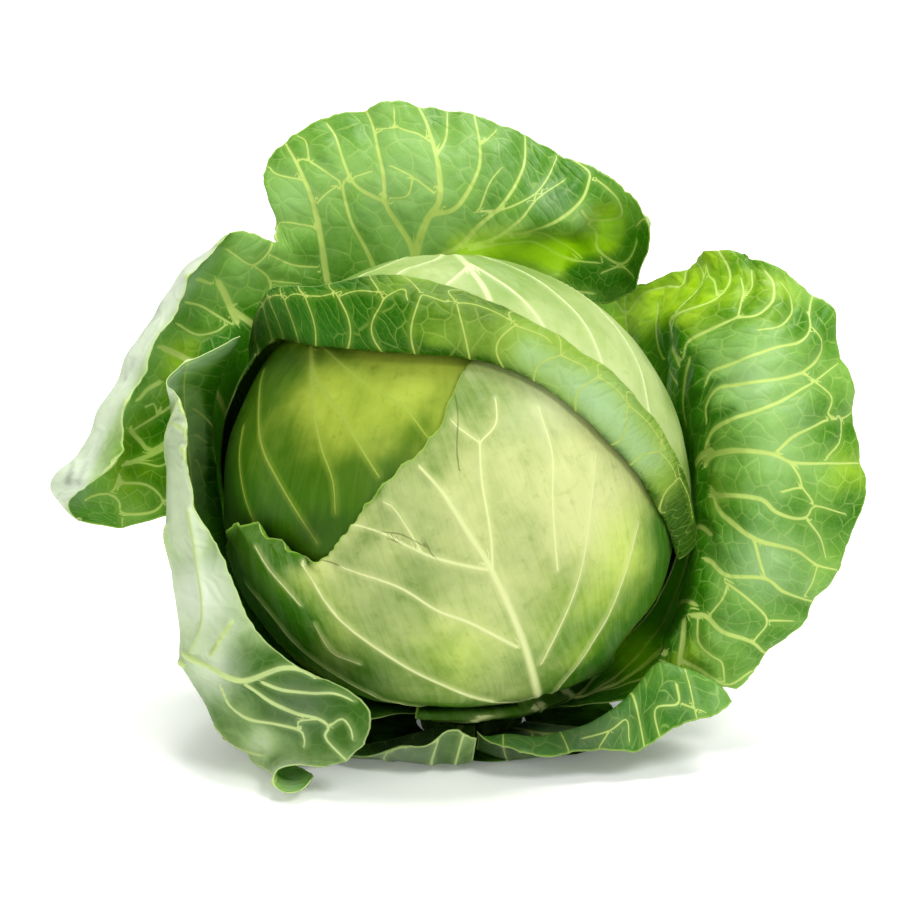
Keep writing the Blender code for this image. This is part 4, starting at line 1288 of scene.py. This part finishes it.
back_leaf.piece(
    "back_leaf", "outer_leaf_back", [outer_inside, outer_outside], thick=0.9, rib_height=1.1,
    # The tone: a painted glow of light coming through the pocket under the top's ridge, painted shade along
    # the ridge's underside, next to the head and in the grooves of the rolled strip, and the leaf's own paler
    # and darker patches elsewhere.
    tone_and_painted_light=[
        (-20, 118, 20, 0.45),
        (-8, 97, 12, 0.5),
        (6, 128, 16, 0.2),
        (42, 110, 12, -0.45),
        (-54, 116, 16, 0.2),
        (-76, 86, 12, 0.1),
        ([(6, 90), (24, 92), (38, 90)], 7, 1.1),
        ([(50, 104), (60, 98)], 6, 0.7),
        ([(46, 87), (58, 83), (70, 85)], 5, -0.7),
        (70, 96, 6, -0.5),
        (-110, 24, 16, -0.35),
        (-122, -6, 10, 0.15),
        ([(-76, 60), (-82, 48), (-84, 30), (-90, 12)], 9, -1.5),
        (-128, 34, 10, 0.6),
        (-138, 14, 8, 0.4),
        (-116, 60, 8, 0.6),
        (-102, 82, 7, 0.6),
        ([(-130, 24), (-133, 16)], 2.0, -0.5),
        ([(-136, 12), (-139, 5)], 2.0, -0.7),
        ([(-141, 12), (-143, 5)], 1.6, -0.7),
        ([(-108, 72), (-122, 42)], 1.3, -0.3),
    ],
    # The hue: a painted glow of light coming through the same pocket, and the silvery underside of the rolled
    # strip, partly its wax and partly painted sheen; the rest is the leaf's own colour.
    hue_with_painted_glow_and_sheen=[
        ([(6, 90), (24, 92), (38, 90)], 8, 1.3),
        ([(44, 90), (56, 94), (58, 102)], 8, 1.0),
        (-112, 16, 20, 0.9),
        (-100, 50, 14, 0.6),
        (38, 110, 12, -0.45),
        (-58, 112, 14, -0.4),
        (-10, 126, 20, -0.3),
        ([(-97, 94), (-106, 80), (-118, 60), (-128, 40), (-137, 20), (-145, 4)], 9, -1.6),
    ],
)

# The left outer leaf: a trough whose far wall clasps the head. The viewer sees its pale underside, with
# ribs that stand up. Its near lobe curls in over the front, and its low corner is rolled up on the table.
LEFT_RIBS = [
    (158, (-88, 10, -22), (-86, 41, -9), (-77, 62, 8)),
    (164, (-93, 6, -16), (-96, 38, -2), (-92, 54, 12)),
    (171, (-98, 0, -10), (-103, 28, 5), (-107, 43, 16)),
    (178, (-100, -6, -4), (-105, 22, 13), (-100, 36, 28)),
    (185, (-101, -14, 4), (-106, 8, 20), (-98, 14, 34)),
    (191, (-102, -24, 12), (-105, -12, 27), (-94, -6, 40)),
    (197, (-102, -36, 18), (-101, -30, 36), (-84, -24, 50)),
    (203, (-101, -48, 20), (-96, -46, 42), (-76, -43, 54)),
    (208, (-101, -57, 20), (-89, -59, 46), (-62, -60, 60)),
    (213, (-98, -68, 20), (-80, -69, 48), (-42, -70, 64)),
    (218, (-92, -79, 18), (-70, -80, 48), (-29, -82, 63)),
    (222, (-87, -87, 16), (-66, -89, 46), (-33, -95, 58)),
    (226, (-81, -92, 16), (-65, -95, 42), (-45, -101.5, 54)),
    (229, (-77, -95, 18), (-66, -98, 40), (-56, -100.5, 53)),
    (232, (-74, -97, 20), (-67, -101, 40), (-65, -103, 54)),
    (235, (-70, -98.5, 23), (-64, -105, 40), (-64, -110, 56)),
    (238, (-65, -99.5, 26), (-58, -106.5, 41), (-56, -111.5, 57)),
    (241, (-58, -100, 27), (-52, -104.5, 40), (-51, -105.5, 54)),
]
left_net = loose_net(root_height=9.8, clasp=(-48.5, 94), ribs=LEFT_RIBS)
left = Blade(left_net, columns=260, rows=140, lift=6.8, hug=0)
left.fray(depth=2.0, length=5, seed=31)
left.nick_sides(depths=(2.0, 2.0), length=4, seed=32)
left.veins(
    drawn=[
        ([(-99, -59), (-91, -63), (-80, -68), (-74, -68), (-62, -64), (-51, -65), (-44, -66)], 1.5, 0.5),
        ([(-70, -69), (-62, -72), (-52, -73), (-43, -73), (-36, -76)], 0.6, 0.3),
        ([(-76, -70), (-67, -76), (-57, -81), (-49, -83), (-45, -86), (-46, -90), (-39, -98)], 0.8, 0.4),
        ([(-85, -71), (-82, -78), (-74, -83), (-64, -85), (-56, -87), (-54, -90), (-54, -93)], 0.7, 0.3),
        ([(-82, -48), (-89, -59)], 1.0, 1.0),
        ([(-56, -87), (-56, -84), (-50, -83)], 0.4, 0.3),
        ([(-45, -86), (-40, -83), (-37, -86), (-36, -90)], 0.4, 0.3),
        ([(-87, -86), (-78, -94), (-69, -97)], 0.7, 0.4),
        ([(-97, -6), (-94, -26), (-92, -44), (-96, -58)], 0.5, 0.4),
        ([(-100, 35), (-93, 30), (-88, 24), (-87, 19)], 0.6, 0.4),
        ([(-102, 27), (-96, 23), (-92, 20)], 0.6, 0.4),
        ([(-100, 18), (-95, 13), (-92, 4)], 0.6, 0.4),
    ],
    grown=[
        ([(8.4, 0), (8.4, 1.2), (8.4, 2.4), (8.6, 3.3)], 2.4, 1.6),
        ([(8.4, 0.8), (6.8, 1.8), (5.6, 2.8), (5.0, 4)], 1.3, 0.7),
        ([(8.4, 0.5), (5.4, 1.6), (3.6, 2.8), (3.0, 5)], 1.2, 0.4),
        ([(8.4, 0.3), (4.0, 1.3), (1.8, 2.8), (1.3, 5)], 1.1, 0.4),
        ([(8.4, 0.9), (10.4, 1.9), (11.6, 3.0)], 1.2, 0.7),
        ([(8.4, 0.5), (11.6, 1.6), (14.0, 3.0), (14.6, 5)], 1.1, 0.4),
    ],
)
left.pillow(crease=0.6, swell=0.6, reach=7)
left.lift_by(MM * (0.3 * waves(left.grid, length=18 * MM, count=18, seed=32) + 0.4))
left.piece(
    "left_leaf", "outer_leaf_left", [outer_inside, outer_outside],
    thick=0.9, rib_height=1.0,
    # The tone: painted shade on the wall next to the head, painted light down the outer flap, along the
    # rolled top rim and inside the rolled low corner, darker over the near lobe, and the leaf's own paler and
    # darker patches elsewhere.
    tone_and_painted_light=[
        (-54, -76, 15, -1.05),
        (-36, -76, 9, -0.5),
        (-70, -62, 10, -0.35),
        (-94, -38, 12, 0.6),
        (-92, -60, 8, 0.4),
        ([(-98, 20), (-98, 0), (-97, -16)], 6, 0.9),
        ([(-97, 36), (-94, 24), (-92, 12)], 4, 0.6),
        (-70, -92, 7, 0.6),
        (-96, 30, 6, 0.5),
        ([(-77, 62), (-86, 56), (-96, 50.5), (-104, 47), (-106, 40)], 3.5, 0.7),
        ([(-76, 54), (-82, 40), (-86, 22), (-84, 4), (-80, -14)], 6.5, -1.4),
        (-59, -106, 6, 1.0),
    ],
    # The hue: greyer wax over the flap and the lobe, and a silver rim along the rolled top edge, partly its
    # wax and partly painted sheen.
    hue_with_painted_glow_and_sheen=[
        (-94, -36, 18, -0.8),
        (-90, -66, 12, -0.6),
        (-98, 24, 9, -0.5),
        (-56, -78, 14, -0.4),
        (-59, -107, 6, -0.7),
        ([(-77, 62), (-86, 56), (-96, 50.5), (-104, 47), (-106, 40)], 3.5, -1.2),
    ],
)

# The low leaves: two short leaves that lie on the table under the front of the head. The left one has a
# turned-up rim, and the right one a wavy brim that rises and then tips over toward the viewer.
LOW_LEFT_RIBS = [
    (245, (-42, -96, 8), (-38, -97, 24)),
    (252, (-23, -99, 19), (-20, -95, 34)),
    (259, (-9, -100, 24), (-8, -91.5, 39)),
    (266, (0, -100, 25), (2, -87.5, 39)),
    (274, (8.5, -99.5, 24), (10, -90, 36)),
]
LOW_RIGHT_RIBS = [
    (286, (10, -95, 15), (10.5, -91, 24), (10, -88, 32)),
    (294, (22, -98, 20), (22, -90, 32), (23, -96, 40)),
    (302, (35, -97, 21), (37, -90, 34), (42, -98, 40)),
    (309, (48, -94, 20), (51, -86, 35), (57, -96, 38)),
    (316, (60, -88, 17), (64, -79, 33), (69, -97, 36)),
    (323, (71, -83, 14), (77, -66.5, 28), (80, -91, 35)),
    (330, (80, -81, 12), (87, -66, 28), (91, -85, 34)),
    (336, (86, -81, 9), (95, -67.5, 25), (99, -83, 32)),
    (342, (91, -82, 6), (101, -72, 22), (106, -78, 27)),
]


def low_net(root_height, low_height, ribs):
    """A leaf that lies on the table under the head. It leaves the stem, is at its low height when it is
    half way out, and then goes through the points that the viewer sees."""
    net = []
    for azimuth, *places in ribs:
        root, first = at_stem(azimuth, root_height), seen(*places[0])
        half = (root + first) / 2
        half[2] = low_height * MM
        net.append([root, half, *[seen(*place) for place in places]])
    return net


low_left_net = low_net(root_height=7.6, low_height=4.0, ribs=LOW_LEFT_RIBS)
low_left = Blade(low_left_net, columns=100, rows=60, lift=7.4, hug=0)
low_left.ruffle(height=1.4, count=2.5, start=0.5)
low_left.fray(depth=1.6, length=4, seed=41)
low_left.veins(
    drawn=[([(-34, -90), (-22, -93), (-12, -90)], 0.5, 0.4)],
    grown=[
        ([(2.2, 0), (2.2, 1.5), (2.3, 3)], 1.4, 0.5),
        ([(2.2, 0.5), (1.2, 1.6), (0.8, 3)], 0.8, 0.4),
        ([(2.2, 0.5), (3.1, 1.6), (3.4, 3)], 0.8, 0.4),
    ],
)
low_left.piece(
    "low_left_leaf", "outer_leaf_low_left", [outer_inside, outer_outside], thick=0.9,
    rib_height=0.6, tone_and_painted_light=[(-20, -95, 22, -0.3)], hue_with_painted_glow_and_sheen=[(-20, -95, 22, -0.5)],
)
low_right_net = low_net(root_height=3.8, low_height=4.5, ribs=LOW_RIGHT_RIBS)
low_right = Blade(low_right_net, columns=170, rows=80, lift=9.5, hug=0)
low_right.ruffle(height=0.9, count=6, start=0.5)
low_right.fray(depth=1.8, length=4, seed=51)
low_right.nudge(VIEW_UP, [(80, -66, 7, 2.6)])
low_right.veins(
    drawn=[
        ([(85, -71), (85.5, -78), (77, -80), (79, -92)], 0.6, 0.3),
        ([(87, -78), (95, -81)], 0.5, 0.25),
        ([(50, -91), (60, -88), (66, -84), (67, -92)], 0.4, 0.25),
        ([(60, -88), (56, -94)], 0.35, 0.25),
    ],
    grown=[
        ([(4.2, 0), (4.2, 1.4), (4.3, 2.6), (4.4, 4)], 1.4, 0.3),
        ([(4.2, 0.5), (2.6, 1.6), (2.2, 4)], 0.8, 0.25),
        ([(4.2, 0.3), (1.2, 1.6), (0.8, 4)], 0.7, 0.25),
        ([(4.2, 0.5), (5.8, 1.6), (6.2, 4)], 0.8, 0.25),
    ],
)
# Its tone darkens the middle and left of the brim: painted shade where it lies under the head's front.
low_right.piece(
    "low_right_leaf", "outer_leaf_low_right", [outer_inside, outer_outside], thick=0.9,
    rib_height=0.5, tone_and_painted_light=[(18, -92, 18, -1.1), (52, -89, 18, -1.2), (78, -84, 12, -0.7)],
    hue_with_painted_glow_and_sheen=[(90, -78, 14, -0.3), (52, -89, 20, -0.6), (22, -94, 14, -0.4)],
)

# The bases of older leaves: a low green frill on the table round the stem, under all the others. It was
# cut short at harvest, and only shows in the dark gap under the head, where its dark matte green is
# painted shade for that gap.
FRILL_INNER = 20.8 * MM
FRILL_FRONT = 40 * MM
FRILL_SIDE = 58 * MM
FRILL_BACK = 52 * MM
FRILL_HEIGHT = 1.3 * MM
FRILL_THICKNESS = 0.7 * MM
FRILL_EDGE = 0.2 * MM
ring, depth = 140, 24
turn = np.linspace(0, 2 * math.pi, ring, endpoint=False)[:, None]
out = np.linspace(0, 1, depth)[None]
reach = np.where(np.sin(turn) > 0, FRILL_BACK, FRILL_FRONT)
reach = reach + (FRILL_SIDE - reach) * np.cos(turn) ** 2
reach = reach * (1 + 0.03 * np.cos(9 * turn) + 0.015 * np.sin(23 * turn))
radius = FRILL_INNER + (reach - FRILL_INNER) * out
height = FRILL_HEIGHT + MM * out * (0.4 * np.sin(7 * turn + 2) + 0.15 * np.sin(23 * turn))
under = np.stack([radius * np.cos(turn), radius * np.sin(turn), np.broadcast_to(height, radius.shape)], 2)
lift = np.zeros(under.shape)
lift[..., 2] = FRILL_THICKNESS / 2
lift[:, -1, 2] = FRILL_EDGE / 2
number = np.arange(ring * depth).reshape(ring, depth)
after = np.roll(number, -1, axis=0)
shift = ring * depth
quad = np.stack([number[:, :-1], number[:, 1:], after[:, 1:], after[:, :-1]], -1).reshape(-1, 4)
inner_wall = np.stack([number[:, 0], after[:, 0], after[:, 0] + shift, number[:, 0] + shift], -1)
outer_wall = np.stack([after[:, -1], number[:, -1], number[:, -1] + shift, after[:, -1] + shift], -1)
faces = np.concatenate([quad + shift, quad[:, ::-1], inner_wall[:, ::-1], outer_wall[:, ::-1]])
points = np.concatenate([(under - lift).reshape(-1, 3), (under + lift).reshape(-1, 3)])
mesh = bpy.data.meshes.new("old_leaf_bases")
mesh.from_pydata(points.tolist(), [], faces.tolist())
mesh.shade_smooth()
n = Nodes("old_leaf_green_as_painted_shade")
place = n("TexCoord").outputs["Object"]
blotch = n("TexNoise", place, named={"Scale": 120.0, "Detail": 4.0})
# A dark matte green, darker than the leaves above: painted shade for the gap under the head.
green = n.mixed(n.between(blotch, 0.35, 0.65), (0.03, 0.11, 0.004), (0.10, 0.24, 0.02))
matte = n("BsdfPrincipled", named={"Base Color": green, "Roughness": 0.8})
matte.inputs["Specular IOR Level"].default_value = 0.0
n("OutputMaterial", matte)
mesh.materials.append(n.material)
bases = bpy.data.objects.new("old_leaf_bases", mesh)
bpy.context.scene.collection.objects.link(bases)
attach(bases, "root")

# The stem: a short stump of pale, moist flesh, cut across. The solid's own shape is right, so it only gets
# its finish.
CUT_RIM = (0.1 * MM, 0.3 * MM)
n = Nodes("cut_stem_flesh")
place = n("TexCoord").outputs["Object"]
fibre = n("TexNoise", place, named={"Scale": 300.0, "Detail": 4.0})
flesh = n.mixed(n.between(fibre, 0.35, 0.7), (0.62, 0.64, 0.40), (0.80, 0.80, 0.60))
bark = n.mixed(n.between(fibre, 0.35, 0.7), (0.03, 0.07, 0.008), (0.10, 0.17, 0.03))
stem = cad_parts["stem"]
cut = min(corner[2] for corner in stem.bound_box)
height = n("SeparateXYZ", place).outputs["Z"]
flesh = n.mixed(n.between(height, cut + CUT_RIM[0], cut + CUT_RIM[1]), flesh, bark)
bump = n("Bump", named={"Height": fibre, "Strength": 0.4, "Distance": 0.4 * MM})
skin = n("BsdfPrincipled", named={"Base Color": flesh, "Roughness": 0.7, "Normal": bump})
skin.inputs["Specular IOR Level"].default_value = 0.1
n("OutputMaterial", skin)
for slot in stem.material_slots:
    slot.material = n.material

# The room: a plain pale floor and soft studio light, most of it from above and a little behind, so that
# the upright leaves glow.
FLOOR_SIZE = 12.0
floor_mesh = bpy.data.meshes.new("floor")
half = FLOOR_SIZE / 2
floor_corners = [(-half, -half, 0), (half, -half, 0), (half, half, 0), (-half, half, 0)]
floor_mesh.from_pydata(floor_corners, [], [(0, 1, 2, 3)])
n = Nodes("pale_floor")
white = n("BsdfPrincipled", named={"Base Color": (0.93, 0.93, 0.92), "Roughness": 0.7})
white.inputs["Emission Color"].default_value = (1, 1, 1, 1)
white.inputs["Emission Strength"].default_value = 0.13
n("OutputMaterial", white)
floor_mesh.materials.append(n.material)
floor = bpy.data.objects.new("floor", floor_mesh)
bpy.context.scene.collection.objects.link(floor)

world = bpy.data.worlds.new("studio")
world.use_nodes = True
world.node_tree.nodes["Background"].inputs["Color"].default_value = (1, 1, 1, 1)
world.node_tree.nodes["Background"].inputs["Strength"].default_value = 0.32
bpy.context.scene.world = world
bpy.context.scene.view_settings.view_transform = "Standard"
bpy.context.scene.view_settings.look = "Medium High Contrast"


def soft_light(name, place, aim, size, power):
    """A square soft light at a place, turned to its aim."""
    data = bpy.data.lights.new(name, "AREA")
    data.size = size
    data.energy = power
    lamp = bpy.data.objects.new(name, data)
    lamp.location = place
    way = np.array(aim) - np.array(place)
    flat = math.hypot(way[0], way[1])
    lamp.rotation_euler = (math.atan2(flat, -way[2]), 0, math.atan2(way[1], way[0]) - math.pi / 2)
    bpy.context.scene.collection.objects.link(lamp)


def broad_light(name, energy, spread, tilt):
    """Light from a whole patch of sky, `spread` degrees wide. It shines straight down, but for a tilt in
    degrees about the x and y axes."""
    data = bpy.data.lights.new(name, "SUN")
    data.energy = energy
    data.angle = math.radians(spread)
    sky = bpy.data.objects.new(name, data)
    sky.rotation_euler = (math.radians(tilt[0]), math.radians(tilt[1]), 0)
    bpy.context.scene.collection.objects.link(sky)


HEAD_MIDDLE = (0, 0, 0.1)
soft_light("key", place=(0.75, -0.9, 1.3), aim=HEAD_MIDDLE, size=0.5, power=11)
soft_light("fill", place=(-0.9, -1.3, 0.8), aim=HEAD_MIDDLE, size=1.0, power=7)
broad_light("overhead", energy=2.6, spread=30, tilt=(-8, 8))
broad_light("behind", energy=0.6, spread=20, tilt=(-52, 8))
